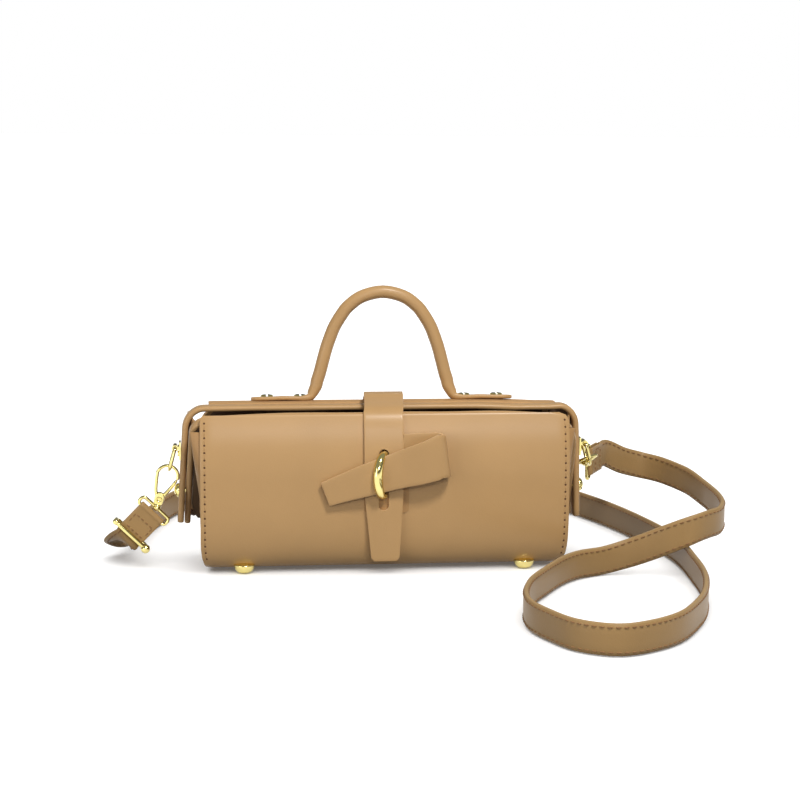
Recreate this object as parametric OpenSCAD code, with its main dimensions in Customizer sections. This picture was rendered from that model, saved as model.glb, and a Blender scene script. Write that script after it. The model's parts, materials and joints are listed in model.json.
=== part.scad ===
// Barrel bag: a leather body wrapped round a board, a rod frame over its mouth, a rolled handle on its top plate,
// a slotted closure strap locked by a tongue through a ring, and a flat shoulder strap on two trigger hooks.
// The origin is on the floor under the middle of the bag. The front is towards -y, and +z is up.

/* [Body] */
// Width of the wrapped body
body_w = 218; // [196:1:240]
// Depth of the body at its deepest height
body_d = 66; // [60:1:74]
// Height of the deepest line of the front and rear above the floor
belly_z = 57; // [50:1:64]
// Height of the front and rear top edges above the floor
edge_z = 94.3; // [90:0.1:98]
// How far the front and rear draw in from the deepest line up to their top edges
draw_top = 7; // [5:0.25:9]
// How far the front and rear draw in from the deepest line down to the lower corners
draw_low = 0.5; // [0:0.25:2]
// Height of the body's underside above the floor
wrap_z = 3.9; // [3:0.1:6]
// Outer radius of the lower corners
corner_r = 9; // [7.5:0.5:12]
// Thickness of the leather wrap
wrap_t = 2; // [1.6:0.1:2.4]
// Height of the wrap's low front, where the fold begins
low_front_z = 25.8; // [22:0.1:30]
// Height of the stiff front panel's lower edge
panel_z = 44; // [40:0.5:46]
// Thickness of the front board
front_board_t = 1.6; // [1:0.1:2]
// Thickness of the base board
base_board_t = 2; // [1.5:0.1:3]
// Thickness of the lining
lining_t = 0.8; // [0.5:0.1:1.2]
// Inset of the lower ends behind the wrap's side edges
end_inset = 5; // [4:0.5:8]
// Thickness of the lower ends
end_t = 1.5; // [1:0.1:2.5]
// Height of the lower ends above the floor
end_z = 32; // [28:1:33]
// Thickness of the folded gussets
gusset_t = 1.2; // [0.8:0.1:1.6]
// Height of the gussets' top edges above the floor
gusset_top_z = 84; // [78:0.5:86]
// Height of the gussets' lower edges above the floor
gusset_low_z = 27.5; // [24:0.5:32]

/* [Mouth frame] */
// How far the outer frame stands out past each end of the body
frame_out = 11; // [9:0.5:16]
// Height of the outer frame's top above the floor
frame_top_z = 96.4; // [94.5:0.1:104]
// Height of the ends of the outer frame's legs above the floor
frame_low_z = 26.2; // [22:0.1:32]
// Thickness of the covered outer frame, seen from the front
frame_t = 3.7; // [3:0.1:4.5]
// Depth of the covered outer frame, front to back
frame_d = 10; // [8:0.5:12]
// Outer radius of the outer frame's corners
frame_r = 13; // [10:0.5:18]
// Thickness of the steel bar in the outer frame
bar_t = 1.5; // [1:0.1:1.8]
// Depth of the steel bars in both frames, front to back
bar_d = 5; // [4.4:0.1:5.4]
// Thickness of the covered inner frame
inner_t = 3.2; // [2.6:0.1:3.6]
// Depth of the covered inner frame
inner_d = 6; // [5.6:0.1:7]
// Thickness of the steel bar in the inner frame
inner_bar_t = 1.2; // [0.8:0.1:1.4]
// Height of the pivots of the inner frame above the floor
pivot_z = 45.5; // [44:0.5:50]
// Radius of the pivot rivets' shanks
pivot_r = 1.5; // [1.2:0.1:1.8]
// Radius of the pivot rivets' outer heads
pivot_head_r = 4.2; // [3.5:0.1:4.8]
// How far the pivot rivets' outer heads stand out
pivot_head_t = 3; // [2:0.1:3.6]

/* [Top and handle] */
// How far the top plate stops short of each end of the body
plate_in = 3.5; // [2.5:0.5:12]
// Thickness of the top plate
plate_t = 1.8; // [1.4:0.1:2.4]
// Thickness of the board under the top plate
top_board_t = 1.4; // [1:0.1:2]
// Diameter of the rolled handle
handle_dia = 7.8; // [6:0.1:9.4]
// Diameter of the cord inside the handle
handle_core_dia = 4.2; // [3:0.1:5]
// Height of the handle's arch from its tabs to its top centreline
handle_rise = 64.7; // [50:0.1:90]
// Half of the distance between the centrelines of the handle's feet
handle_half = 41.7; // [36:0.1:50]
// Place of the handle's middle to the right of the bag's middle
handle_x = 1.3; // [-2:0.1:2]
// Place of the handle behind the frame's plane
handle_y = 12; // [11:0.25:15]
// Thickness of the handle's flat tabs
tab_t = 2.8; // [2:0.1:3.4]
// Length of the handle's flat tabs
tab_l = 43; // [38:0.5:50]
// Depth of the handle's flat tabs
tab_d = 11; // [9.5:0.5:13]
// Radius of the handle screws' heads
screw_head_r = 3.4; // [2:0.1:3.6]
// Radius of the handle screws' shanks
screw_r = 1; // [0.8:0.1:1.3]

/* [Feet] */
// Radius of the dome feet
foot_r = 5.8; // [4.8:0.1:6.6]
// Feet: distance of their middles from the body's ends
foot_end = 25.6; // [18:0.2:38]
// Feet: distance of their middles from the front and the rear
foot_side = 8.5; // [8.5:0.5:13]
// Radius of the feet's shanks
foot_shank_r = 1.4; // [1:0.1:1.8]

/* [Closure] */
// Width of the closure strap
strap_w = 24; // [20:0.5:30]
// Thickness of the closure strap
strap_t = 2.2; // [1.6:0.1:2.4]
// Height of the closure strap's tip above the floor
strap_tip_z = 8; // [6:0.5:20]
// Height of the closure strap's top over the frame
strap_rise = 6.4; // [4:0.1:8]
// Width of the slot in the closure strap
slot_w = 5.8; // [5:0.1:6.6]
// Height of the slot's lower end above the floor
slot_low_z = 38.3; // [34:0.1:40]
// Height of the slot's upper end above the floor
slot_top_z = 74.6; // [73.5:0.1:78]
// How far the ring stands out in front of the body
ring_reach = 12; // [11:0.25:13]
// Half height of the ring between its feet
ring_half = 12.2; // [11.5:0.1:12.5]
// Radius of the ring's wire at its middle
ring_r = 2.4; // [2:0.1:2.5]
// Thickness of the tongue
tongue_t = 2; // [1.6:0.1:2.2]

/* [Hardware] */
// Height of the D-ring bars above the floor
lug_z = 71.3; // [66:0.1:76]
// How far the D-ring bars stand out from the frame
lug_reach = 3.4; // [3:0.1:4.5]
// Radius of the D-rings' wire
dring_r = 1; // [0.8:0.05:1.2]
// Half width of the D-rings
dring_half = 7; // [6.4:0.1:8.4]
// Depth of the D-rings from the bar to the farthest point
dring_l = 13.8; // [13:0.1:16]
// Lean of the hanging D-rings away from the bag, in degrees
dring_lean = 15; // [10:1:20]
// Radius of the hooks' wire
hook_r = 0.95; // [0.8:0.05:1.1]
// Radius of the hooks' round loop
hook_loop_r = 6.2; // [5.8:0.1:7]
// Length of the hooks from the loop's top to the swivel
hook_l = 27.5; // [26:0.5:30]
// Width of the strap eyes
eye_w = 23; // [22:0.5:26]
// Depth of the strap eyes
eye_d = 7; // [6.5:0.1:9]
// Width of the shoulder strap
belt_w = 17; // [15:0.5:17.5]
// Thickness of the shoulder strap
belt_t = 3; // [2.4:0.1:3.4]
// Length of the folded strap ends
fold_l = 18.5; // [14:0.5:22]

/* [Hidden] */
$fn = 32;

// Leather, metal and lining colours
tan_colour = [0.69, 0.52, 0.34];
dark_tan = [0.58, 0.43, 0.27];
gold = [0.86, 0.70, 0.30];
steel = [0.62, 0.63, 0.65];
board_colour = [0.55, 0.50, 0.42];
lining_colour = [0.42, 0.33, 0.25];

// Room between soft pieces that face each other, between flat faces, and round a running pin
soft_gap = 0.3;
face_gap = 0.1;
run_gap = 0.05;
// How far every cut runs past what it cuts
over = 1;
wall_steps = 8;
frame_w = body_w + 2 * frame_out;
plate_w = body_w - 2 * plate_in;
foot_x = body_w / 2 - foot_end;
foot_y = body_d / 2 - foot_side;
tube_sides = 14;

low_z = wrap_z + corner_r;
low_y = body_d / 2 - draw_low;
corner_y = low_y - corner_r;
// The bag stands back by half of what the ring reaches out, so the whole part is level about the origin
back_y = ring_reach / 2;

module place() translate([0, back_y, 0]) children();
module across(w) rotate([90, 0, 90]) linear_extrude(w, center = true) children();

// Distance of the front and rear surfaces from the frame's plane at height z, less an inset
function side_y(z, inset = 0) = body_d / 2 - inset - (z > belly_z
    ? draw_top * pow((z - belly_z) / (edge_z - belly_z), 2)
    : draw_low * pow((belly_z - z) / (belly_z - low_z), 2));
function wall(side, z_from, z_to, inset = 0) = [for (i = [0 : wall_steps])
    let (z = z_from + (z_to - z_from) * i / wall_steps) [side * side_y(z, inset), z]];
function corner(side, inset = 0) = [for (a = [15 : 15 : 90])
    [side * (corner_y + (corner_r - inset) * cos(a)), low_z - (corner_r - inset) * sin(a)]];
function flip(list) = [for (i = [len(list) - 1 : -1 : 0]) list[i]];
// Trough from the rear's top edge round the bottom to a height on the front
function trough(z_rear, z_front, inset) = concat(
    wall(1, z_rear, low_z, inset), corner(1, inset), flip(corner(-1, inset)), wall(-1, low_z, z_front, inset));

module sheet(side, z_from, z_to, inset, t)
    polygon(concat(wall(side, z_from, z_to, inset), flip(wall(side, z_from, z_to, inset + t))));

function unit(v) = v / norm(v);
function mix(a, b, s) = a * (1 - s) + b * s;
// Direction of a path at point i, where a closed path goes on from its last point to its first
function heading(path, i, closed = false) = let (n = len(path)) closed
    ? unit(path[(i + 1) % n] - path[(i + n - 1) % n])
    : unit(path[min(i + 1, n - 1)] - path[max(i - 1, 0)]);
// The section's points at path point i, with the section's second axis as near to ref as the path allows
function station(path, i, section, ref, closed = false) = let (
    t = heading(path, i, closed), s = unit(cross(t, ref)), u = cross(s, t))
    [for (q = section) path[i] + q[0] * s + q[1] * u];
function round_section(r, sides) = [for (k = [0 : sides - 1]) [r * cos(360 * k / sides), r * sin(360 * k / sides)]];
// Catmull-Rom point between the second and third of four points
function between(a, b, c, d, s) = 0.5 * (2 * b + (c - a) * s + (2 * a - 5 * b + 4 * c - d) * pow(s, 2)
    + (3 * b - 3 * c + d - a) * pow(s, 3));
function smooth(p, steps) = concat([for (i = [0 : len(p) - 2]) for (k = [0 : steps - 1])
    between(p[max(i - 1, 0)], p[i], p[i + 1], p[min(i + 2, len(p) - 1)], k / steps)], [p[len(p) - 1]]);

module sweep(path, sections, refs) {
    n = len(sections[0]);
    m = len(path);
    points = [for (i = [0 : m - 1]) each station(path, i, sections[i], refs[i])];
    skin = [for (i = [0 : m - 2]) for (k = [0 : n - 1]) let (a = i * n + k, b = i * n + (k + 1) % n)
        each [[a, b, b + n], [a, b + n, a + n]]];
    polyhedron(points, concat([[for (k = [n - 1 : -1 : 0]) k]], skin, [[for (k = [0 : n - 1]) (m - 1) * n + k]]));
}
module tube(path, r, ref, sides = tube_sides)
    sweep(path, [for (p = path) round_section(r, sides)], [for (p = path) ref]);
module loop(path, r, ref, sides) {
    n = sides;
    m = len(path);
    points = [for (i = [0 : m - 1]) each station(path, i, round_section(r, sides), ref, true)];
    polyhedron(points, [for (i = [0 : m - 1]) for (k = [0 : n - 1])
        let (a = i * n + k, b = i * n + (k + 1) % n, c = ((i + 1) % m) * n)
        each [[a, b, c + (k + 1) % n], [a, c + (k + 1) % n, c + k]]]);
}
// Corners of a rounded link in the x-z plane, half as wide and deep as given, with corner radius r
function link_path(half_w, half_l, r) = [for (q = [[1, 1, 0], [-1, 1, 90], [-1, -1, 180], [1, -1, 270]]) for (a = [0 : 30 : 90])
    [q[0] * (half_w - r) + r * cos(q[2] + a), 0, q[1] * (half_l - r) + r * sin(q[2] + a)]];

// Axes and origin of a placed piece
module on_frame(p, x, y, z)
    multmatrix([[x[0], y[0], z[0], p[0]], [x[1], y[1], z[1], p[1]], [x[2], y[2], z[2], p[2]], [0, 0, 0, 1]])
        children();

foot_top_z = wrap_z + wrap_t + base_board_t;
washer_t = 0.8;
washer_r = 3.2;
module at_feet() for (x = [-foot_x, foot_x]) for (y = [-foot_y, foot_y]) translate([x, y, 0]) children();

ring_foot_r = 1.5;
ring_z = (slot_low_z + slot_top_z) / 2 + ring_half / 4;
ring_x = -(slot_w / 2 - ring_r) - ring_foot_r;
ring_feet = [ring_z - ring_half, ring_z + ring_half];

// Wrapped sheet of the rear, the bottom and the low front
module wrap() color(tan_colour) place() difference() {
    across(body_w) polygon(concat(trough(edge_z, low_front_z, 0), flip(trough(edge_z, low_front_z, wrap_t))));
    at_feet() cylinder(h = low_z, r = foot_shank_r + run_gap);
}

// Supple part of the front, which creases when the front opens
module front_fold() color(tan_colour) place()
    across(body_w) sheet(-1, low_front_z + face_gap, panel_z - face_gap, 0, wrap_t);

module front_panel() color(tan_colour) place() difference() {
    across(body_w) sheet(-1, panel_z, edge_z, 0, wrap_t);
    for (z = ring_feet) translate([ring_x, 0, z]) rotate([90, 0, 0])
        cylinder(h = body_d, r = ring_foot_r + run_gap);
}

board_top_z = edge_z - inner_t - wrap_t - draw_top / 3;
board_side = end_inset + end_t + 2 * soft_gap;
module front_board() color(board_colour) place() difference() {
    across(body_w - 2 * board_side) sheet(-1, panel_z + wrap_t, board_top_z, wrap_t + face_gap, front_board_t);
    for (z = ring_feet) translate([ring_x, 0, z]) rotate([90, 0, 0])
        cylinder(h = body_d, r = ring_foot_r + run_gap);
}

lining_z = foot_top_z + washer_t + face_gap;
base_lift = 1.2;
base_side = 2;
module base_board() color(board_colour) place() difference() {
    across(body_w - 2 * (end_inset + end_t + base_side)) polygon([
        [-corner_y, wrap_z + wrap_t], [corner_y, wrap_z + wrap_t], [corner_y + base_side, wrap_z + wrap_t + base_lift],
        [corner_y + base_side, foot_top_z], [-corner_y - base_side, foot_top_z],
        [-corner_y - base_side, wrap_z + wrap_t + base_lift]]);
    at_feet() cylinder(h = low_z, r = foot_shank_r + run_gap);
}

// Lining of the floor and the rear wall
module lining() color(lining_colour) place() across(body_w - 2 * (end_inset + end_t + soft_gap)) {
    sheet(1, low_z + wrap_t, edge_z - wrap_t, wrap_t + face_gap, lining_t);
    polygon([[-corner_y, lining_z], [corner_y, lining_z], [corner_y + base_side, lining_z + base_side],
        [side_y(low_z + wrap_t, wrap_t + face_gap), low_z + wrap_t],
        [side_y(low_z + wrap_t, wrap_t + face_gap + lining_t), low_z + wrap_t],
        [corner_y, lining_z + lining_t], [-corner_y, lining_z + lining_t]]);
}

// Recessed lower end between the front and the rear
module end_wall(side) place() translate([side * (body_w / 2 - end_inset - end_t / 2), 0, 0]) across(end_t)
    polygon(concat(
        wall(1, end_z, low_z, wrap_t + face_gap), corner(1, wrap_t + face_gap),
        flip(corner(-1, wrap_t + face_gap)), wall(-1, low_z, end_z, wrap_t + face_gap)));
module end_left() color(dark_tan) end_wall(-1);
module end_right() color(dark_tan) end_wall(1);

leg_x = frame_w / 2 - frame_t;
inner_x = leg_x - 2 * soft_gap;
inner_head_t = 1;
gusset_x = inner_x - inner_t - inner_head_t - soft_gap;
gusset_y = side_y(gusset_top_z, wrap_t + soft_gap);
gusset_root_x = gusset_x - 4 * gusset_t;
// Folded gusset, which bulges out from the front and rear edges to the frame's legs
module gusset(side) place() translate([0, 0, gusset_low_z]) linear_extrude(gusset_top_z - gusset_low_z)
    polygon([for (p = [
        [gusset_root_x, -gusset_y], [gusset_root_x + gusset_t, -gusset_y], [gusset_x, -inner_d / 2],
        [gusset_x, inner_d / 2], [gusset_root_x + gusset_t, gusset_y], [gusset_root_x, gusset_y],
        [gusset_x - gusset_t, inner_d / 2], [gusset_x - gusset_t, -inner_d / 2]]) [side * p[0], p[1]]]);
module gusset_left() color(dark_tan) gusset(-1);
module gusset_right() color(dark_tan) gusset(1);

// Arch standing on z = low: outer half width, top, corner radius, thickness and depth
module arch(half, low, top, r, t, d) rotate([90, 0, 0]) linear_extrude(d, center = true) difference() {
    arch_face(half, low, top, r);
    arch_face(half - t, low - over, top - t, max(r - t, t));
}
module arch_face(half, low, top, r) {
    translate([-half, low]) square([2 * half, top - r - low]);
    translate([-half + r, low]) square([2 * (half - r), top - low]);
    for (x = [-half + r, half - r]) translate([x, top - r]) circle(r);
}

module pivot_bore() translate([0, 0, pivot_z]) rotate([0, 90, 0])
    cylinder(h = frame_w + over, r = pivot_r + run_gap, center = true);

cover_t = (frame_t - bar_t) / 2;
module outer_frame() color(tan_colour) place() difference() {
    arch(frame_w / 2, frame_low_z, frame_top_z, frame_r, frame_t, frame_d);
    arch(frame_w / 2 - cover_t, frame_low_z + cover_t, frame_top_z - cover_t, frame_r - cover_t, bar_t,
        bar_d + 2 * face_gap);
    pivot_bore();
}
module outer_bar() color(steel) place() difference() {
    arch(frame_w / 2 - cover_t, frame_low_z + cover_t + face_gap, frame_top_z - cover_t, frame_r - cover_t,
        bar_t, bar_d);
    pivot_bore();
}

// The inner frame's bar stands in the front's top edge, and its legs lean back from there to the pivots
inner_r = frame_r - frame_t + 2 * soft_gap;
inner_top_y = side_y(edge_z - inner_t - soft_gap, wrap_t) - inner_d / 2 - draw_top / 7;
inner_top_z = edge_z - inner_t / 2 - inner_d * 0.4 - pivot_z;
inner_lean = atan(inner_top_y / inner_top_z);
inner_h = norm([inner_top_y, inner_top_z]) + inner_t / 2;
module lean() translate([0, 0, pivot_z]) rotate([inner_lean, 0, 0]) children();
inner_cover_t = (inner_t - inner_bar_t) / 2;
inner_low_z = frame_low_z - inner_d / 3;
module inner_frame() color(tan_colour) place() difference() {
    lean() arch(inner_x, -(pivot_z - inner_low_z) / cos(inner_lean), inner_h, inner_r, inner_t, inner_d);
    lean() arch(inner_x - inner_cover_t, inner_d, inner_h - inner_cover_t, inner_r - inner_cover_t,
        inner_bar_t, bar_d - inner_cover_t + 2 * face_gap);
    pivot_bore();
}
module inner_bar() color(steel) place() lean()
    arch(inner_x - inner_cover_t, inner_d + face_gap, inner_h - inner_cover_t, inner_r - inner_cover_t,
        inner_bar_t, bar_d - inner_cover_t);

module pivot_rivets() color(gold) place() for (side = [-1, 1]) translate([0, 0, pivot_z])
    rotate([0, side * 90, 0]) {
        translate([0, 0, inner_x - inner_t - inner_head_t])
            cylinder(h = inner_head_t - face_gap, r = 2 * pivot_r);
        translate([0, 0, inner_x - inner_t - inner_head_t])
            cylinder(h = frame_w / 2 - inner_x + inner_t + inner_head_t + pivot_head_t / 2, r = pivot_r);
        translate([0, 0, frame_w / 2 + face_gap / 2]) rotate_extrude() intersection() {
            translate([0, (pivot_head_t * pivot_head_t - pivot_head_r * pivot_head_r) / (2 * pivot_head_t)])
                circle((pivot_head_t * pivot_head_t + pivot_head_r * pivot_head_r) / (2 * pivot_head_t));
            square([pivot_head_r, pivot_head_t]);
        }
    }

// The plate rises behind the frame and falls to the rear's top edge
plate_front_y = frame_d / 2 + face_gap;
plate_rear_y = side_y(edge_z);
plate_low_z = edge_z + face_gap;
plate_crown = 1.3;
plate_ridge = (plate_rear_y - plate_front_y) / 5;
plate_z = frame_top_z + plate_crown;
plate_fall_y = handle_y + tab_d / 2;
function plate_top(y) = mix(plate_z, plate_low_z + plate_t, (y - plate_fall_y) / (plate_rear_y - plate_fall_y));
screw_shares = [0.185, 0.65];
screw_xs = [for (side = [-1, 1]) for (q = screw_shares) side * (handle_half + tab_l * q)];
module at_screws() for (x = screw_xs) translate([handle_x + x, handle_y, 0]) children();
module screw_holes() at_screws() cylinder(h = 2 * frame_top_z, r = screw_r + run_gap);
module plate_face(drop, t) polygon([
    [plate_front_y, frame_top_z - drop], [plate_front_y + plate_ridge, plate_z - drop],
    [plate_fall_y, plate_z - drop], [plate_rear_y, plate_low_z + plate_t - drop],
    [plate_rear_y, plate_low_z + plate_t - drop - t], [plate_fall_y, plate_z - drop - t],
    [plate_front_y + plate_ridge, plate_z - drop - t], [plate_front_y, frame_top_z - drop - t]]);
module top_plate() color(tan_colour) place() difference() {
    across(plate_w) plate_face(0, plate_t);
    screw_holes();
}
module top_board() color(board_colour) place() difference() {
    across(plate_w - 4 * plate_t) intersection() {
        plate_face(plate_t, top_board_t);
        translate([plate_front_y, 0]) square([plate_rear_y - wrap_t - plate_front_y - soft_gap, 2 * frame_top_z]);
    }
    screw_holes();
}

// Half of the handle's centreline from a foot to the top, as shares of its half span and rise
handle_shares = [[1, 0], [0.906, 0.24], [0.82, 0.46], [0.76, 0.575], [0.69, 0.685], [0.585, 0.795],
    [0.49, 0.87], [0.295, 0.958], [0, 1]];
tab_z = plate_z + face_gap;
handle_z = tab_z;
handle_knots = concat(
    [for (p = handle_shares) [-p[0] * handle_half, p[1] * handle_rise]],
    [for (i = [len(handle_shares) - 2 : -1 : 0]) [handle_shares[i][0] * handle_half, handle_shares[i][1] * handle_rise]]);
handle_path = smooth([for (p = handle_knots) [handle_x + p[0], handle_y, handle_z + p[1]]], 2);
handle_in = [for (i = [1 : len(handle_path) - 2]) handle_path[i]];
module handle() color(tan_colour) place() difference() {
    union() {
        difference() {
            tube(handle_path, handle_dia / 2, [0, 1, 0]);
            translate([handle_x, handle_y, handle_z - over])
                cube([4 * handle_half, 4 * tab_d, 2 * over], center = true);
        }
        for (side = [-1, 1]) translate([handle_x + side * handle_half, handle_y, tab_z]) {
            translate([side * (tab_l - tab_d) / 2, 0, tab_t / 2]) cube([tab_l - tab_d, tab_d, tab_t], center = true);
            cylinder(h = tab_t, r = tab_d / 2);
            translate([side * (tab_l - tab_d), 0, 0]) cylinder(h = tab_t, r = tab_d / 2);
        }
    }
    tube(handle_in, handle_core_dia / 2 + face_gap, [0, 1, 0]);
    screw_holes();
}
handle_core_path = [for (i = [2 : len(handle_path) - 3]) handle_path[i]];
module handle_core() color(board_colour) place() tube(handle_core_path, handle_core_dia / 2, [0, 1, 0]);

screw_head_t = 1.4;
nut_t = 1;
module handle_screws() color(gold) place() at_screws() {
    translate([0, 0, tab_z + tab_t]) cylinder(h = screw_head_t, r1 = screw_head_r, r2 = screw_head_r * 0.7);
    translate([0, 0, plate_z - plate_t - top_board_t - nut_t])
        cylinder(h = tab_z + tab_t + nut_t + plate_t + top_board_t - plate_z + screw_head_t / 2, r = screw_r);
    translate([0, 0, plate_z - plate_t - top_board_t - nut_t]) cylinder(h = nut_t, r = screw_head_r * 0.8);
}

// Dome feet, flat at the floor, with shanks through the wrap and the base board
foot_flat_drop = 0.4;
module feet() color(gold) place() at_feet() {
    rotate_extrude() intersection() {
        translate([0, foot_r - foot_flat_drop]) circle(foot_r);
        square([foot_r, wrap_z - face_gap]);
    }
    translate([0, 0, foot_r / 4]) cylinder(h = foot_top_z + washer_t - foot_r / 4, r = foot_shank_r);
}
module foot_washers() color(steel) place() at_feet() translate([0, 0, foot_top_z]) difference() {
    cylinder(h = washer_t, r = washer_r);
    translate([0, 0, -over]) cylinder(h = washer_t + 2 * over, r = foot_shank_r + run_gap);
}

// Closure strap: sewn to the plate at its rear, arched over the frame, hanging down the front
strap_bend_y = -frame_d / 2;
strap_top_z = frame_top_z + strap_rise;
strap_root_y = plate_front_y + plate_ridge;
strap_end_y = plate_rear_y - wrap_t;
base_y = frame_d / 4;
closure_x = -1;
module closure_base() color(tan_colour) place() translate([closure_x / 2, 0, 0]) across(strap_w) polygon([
    [base_y, strap_top_z], [strap_root_y, strap_top_z - strap_rise / 5],
    [plate_fall_y, plate_z + face_gap + strap_t], [strap_end_y, plate_top(strap_end_y) + face_gap + strap_t],
    [strap_end_y, plate_top(strap_end_y) + face_gap], [plate_fall_y, plate_z + face_gap],
    [strap_root_y, plate_z + face_gap], [base_y, strap_top_z - strap_t]]);

hang_gap = 0.4;
front_lip_z = edge_z + soft_gap;
strap_out = hang_gap;
function hang(z, t) = [-(side_y(min(z, edge_z)) + strap_out + t), z];
strap_zs = [for (i = [0 : wall_steps]) edge_z - draw_top + (strap_tip_z - edge_z + draw_top) * i / wall_steps];
strap_neck = [-(side_y(edge_z) + draw_top / 7), edge_z + strap_t / 2];
module strap_side() polygon(concat(
    [[base_y - face_gap, strap_top_z], [strap_bend_y - strap_t, strap_top_z - strap_t / 5], strap_neck + [-strap_t / 2, strap_t]],
    [for (z = strap_zs) hang(z, strap_t)],
    flip([for (z = strap_zs) hang(z, 0)]),
    [strap_neck + [0, -strap_t / 3], [strap_bend_y, strap_top_z - strap_t - strap_t / 5], [base_y - face_gap, strap_top_z - strap_t]]));
strap_taper_z = 45;
strap_tip_w = 17;
module strap_front() polygon([
    [-strap_w / 2, strap_taper_z], [-strap_tip_w / 2, strap_tip_z - over], [strap_tip_w / 2, strap_tip_z - over],
    [strap_w / 2, strap_taper_z], [strap_w / 2, 2 * frame_top_z], [-strap_w / 2, 2 * frame_top_z]]);
slot_x = ring_x - closure_x;
module slot_face() {
    translate([slot_x - slot_w / 2, slot_low_z + slot_w / 2]) square([slot_w, slot_top_z - slot_low_z - slot_w]);
    for (z = [slot_low_z + slot_w / 2, slot_top_z - slot_w / 2]) translate([slot_x, z]) circle(slot_w / 2);
}
module closure_strap() color(tan_colour) place() translate([closure_x, 0, 0]) intersection() {
    across(strap_w) strap_side();
    rotate([90, 0, 0]) linear_extrude(2 * body_d, center = true) difference() {
        strap_front();
        slot_face();
    }
}

// Ring: a staple through the strap's slot, thickest in the middle
ring_steps = 12;
ring_turn_share = 0.3;
ring_out = [-ring_turn_share, -sqrt(1 - pow(ring_turn_share, 2)), 0];
ring_foot_y = side_y(ring_z) + strap_t + hang_gap;
ring_bulge = body_d / 2 + ring_reach - ring_r - ring_foot_y;
ring_path = concat(
    [[ring_x, -side_y(ring_feet[0], wrap_t + front_board_t), ring_feet[0]]],
    [for (i = [0 : ring_steps]) let (a = -90 + 180 * i / ring_steps)
        [ring_x, -ring_foot_y, ring_z] + ring_bulge * cos(a) * ring_out / -ring_out[1] + [0, 0, ring_half * sin(a)]],
    [[ring_x, -side_y(ring_feet[1], wrap_t + front_board_t), ring_feet[1]]]);
ring_radii = concat([ring_foot_r], [for (i = [0 : ring_steps])
    mix(ring_foot_r, ring_r, sin(180 * i / ring_steps))], [ring_foot_r]);
module ring() color(gold) place() sweep(ring_path, [for (r = ring_radii) round_section(r, 12)],
    [for (r = ring_radii) [1, 0, 0]]);

// Tongue: a fixed ply that comes out from behind the strap, folds back and runs left through the ring
tongue_w = 25;
tongue_fold_x = 33;
tongue_root_l = 22;
tongue_y = body_d / 2 + soft_gap;
tongue_front_y = body_d / 2 + hang_gap + strap_t + soft_gap;
tongue_low_z = 58.5;
tongue_l = 72;
module tongue_root() color(tan_colour) place() translate([tongue_fold_x - tongue_root_l, 0, tongue_low_z])
    intersection() {
        translate([0, -body_d, 0]) cube([tongue_root_l - soft_gap, body_d, tongue_w]);
        translate([0, 0, -tongue_low_z]) across(2 * tongue_root_l + body_d)
            sheet(-1, tongue_low_z, tongue_low_z + tongue_w, -soft_gap - tongue_t, tongue_t);
    }
// The front ply's outline from the fold to the tip, as shares of its length and of its width at the fold
tongue_shares = [[0, 0], [0, 1], [0.03, 1], [0.36, 0.6], [0.44, 0.39], [0.55, 0.37], [0.66, 0.3], [1, -0.12],
    [0.93, -0.64], [0.49, -0.29]];
module tongue() color(tan_colour) place() {
    translate([0, -tongue_front_y, 0]) rotate([90, 0, 0]) linear_extrude(tongue_t)
        polygon([for (p = tongue_shares) [tongue_fold_x - p[0] * tongue_l, tongue_low_z + p[1] * tongue_w]]);
    translate([tongue_fold_x, -tongue_front_y - tongue_t, tongue_low_z])
        cube([tongue_t, tongue_front_y + tongue_t - tongue_y, tongue_w]);
}

// Lug: a barrel for the D-ring's bar on a plate, and a rivet below it
lug_x = frame_w / 2 + lug_reach;
lug_len = 8;
lug_wall = 0.85;
lug_plate_t = 1;
lug_rivet_r = 1.7;
lug_r = dring_r + run_gap + lug_wall;
module lug(side) place() difference() {
    union() {
        translate([side * lug_x, 0, lug_z]) rotate([90, 0, 0]) cylinder(h = lug_len, r = lug_r, center = true);
        translate([side * (frame_w / 2 + lug_reach / 2), 0, lug_z])
            cube([lug_reach, lug_len, 2 * dring_r], center = true);
        translate([side * (frame_w / 2 + lug_plate_t / 2), 0, lug_z - lug_rivet_r])
            cube([lug_plate_t, lug_len, 2 * (lug_r + 2 * lug_rivet_r)], center = true);
        translate([side * (frame_w / 2 + lug_plate_t), 0, lug_z - lug_r - lug_rivet_r - face_gap])
            rotate([0, 90, 0]) cylinder(h = 2 * lug_plate_t, r = lug_rivet_r, center = true);
    }
    translate([side * lug_x, 0, lug_z]) rotate([90, 0, 0])
        cylinder(h = lug_len + over, r = dring_r + run_gap, center = true);
}
module lug_left() color(gold) lug(-1);
module lug_right() color(gold) lug(1);

module dring(side) place() translate([side * lug_x, 0, lug_z]) rotate([0, -side * dring_lean, 0]) {
    rotate([90, 0, 0]) cylinder(h = 2 * dring_half, r = dring_r, center = true);
    for (y = [-dring_half, dring_half]) translate([0, y, 0]) {
        sphere(dring_r);
        translate([0, 0, dring_half - dring_l]) cylinder(h = dring_l - dring_half, r = dring_r);
    }
    translate([0, 0, dring_half - dring_l]) rotate([0, 90, 0]) rotate([0, 0, -90])
        rotate_extrude(angle = 180) translate([dring_half, 0]) circle(dring_r);
}
module dring_left() color(gold) dring(-1);
module dring_right() color(gold) dring(1);

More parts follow.
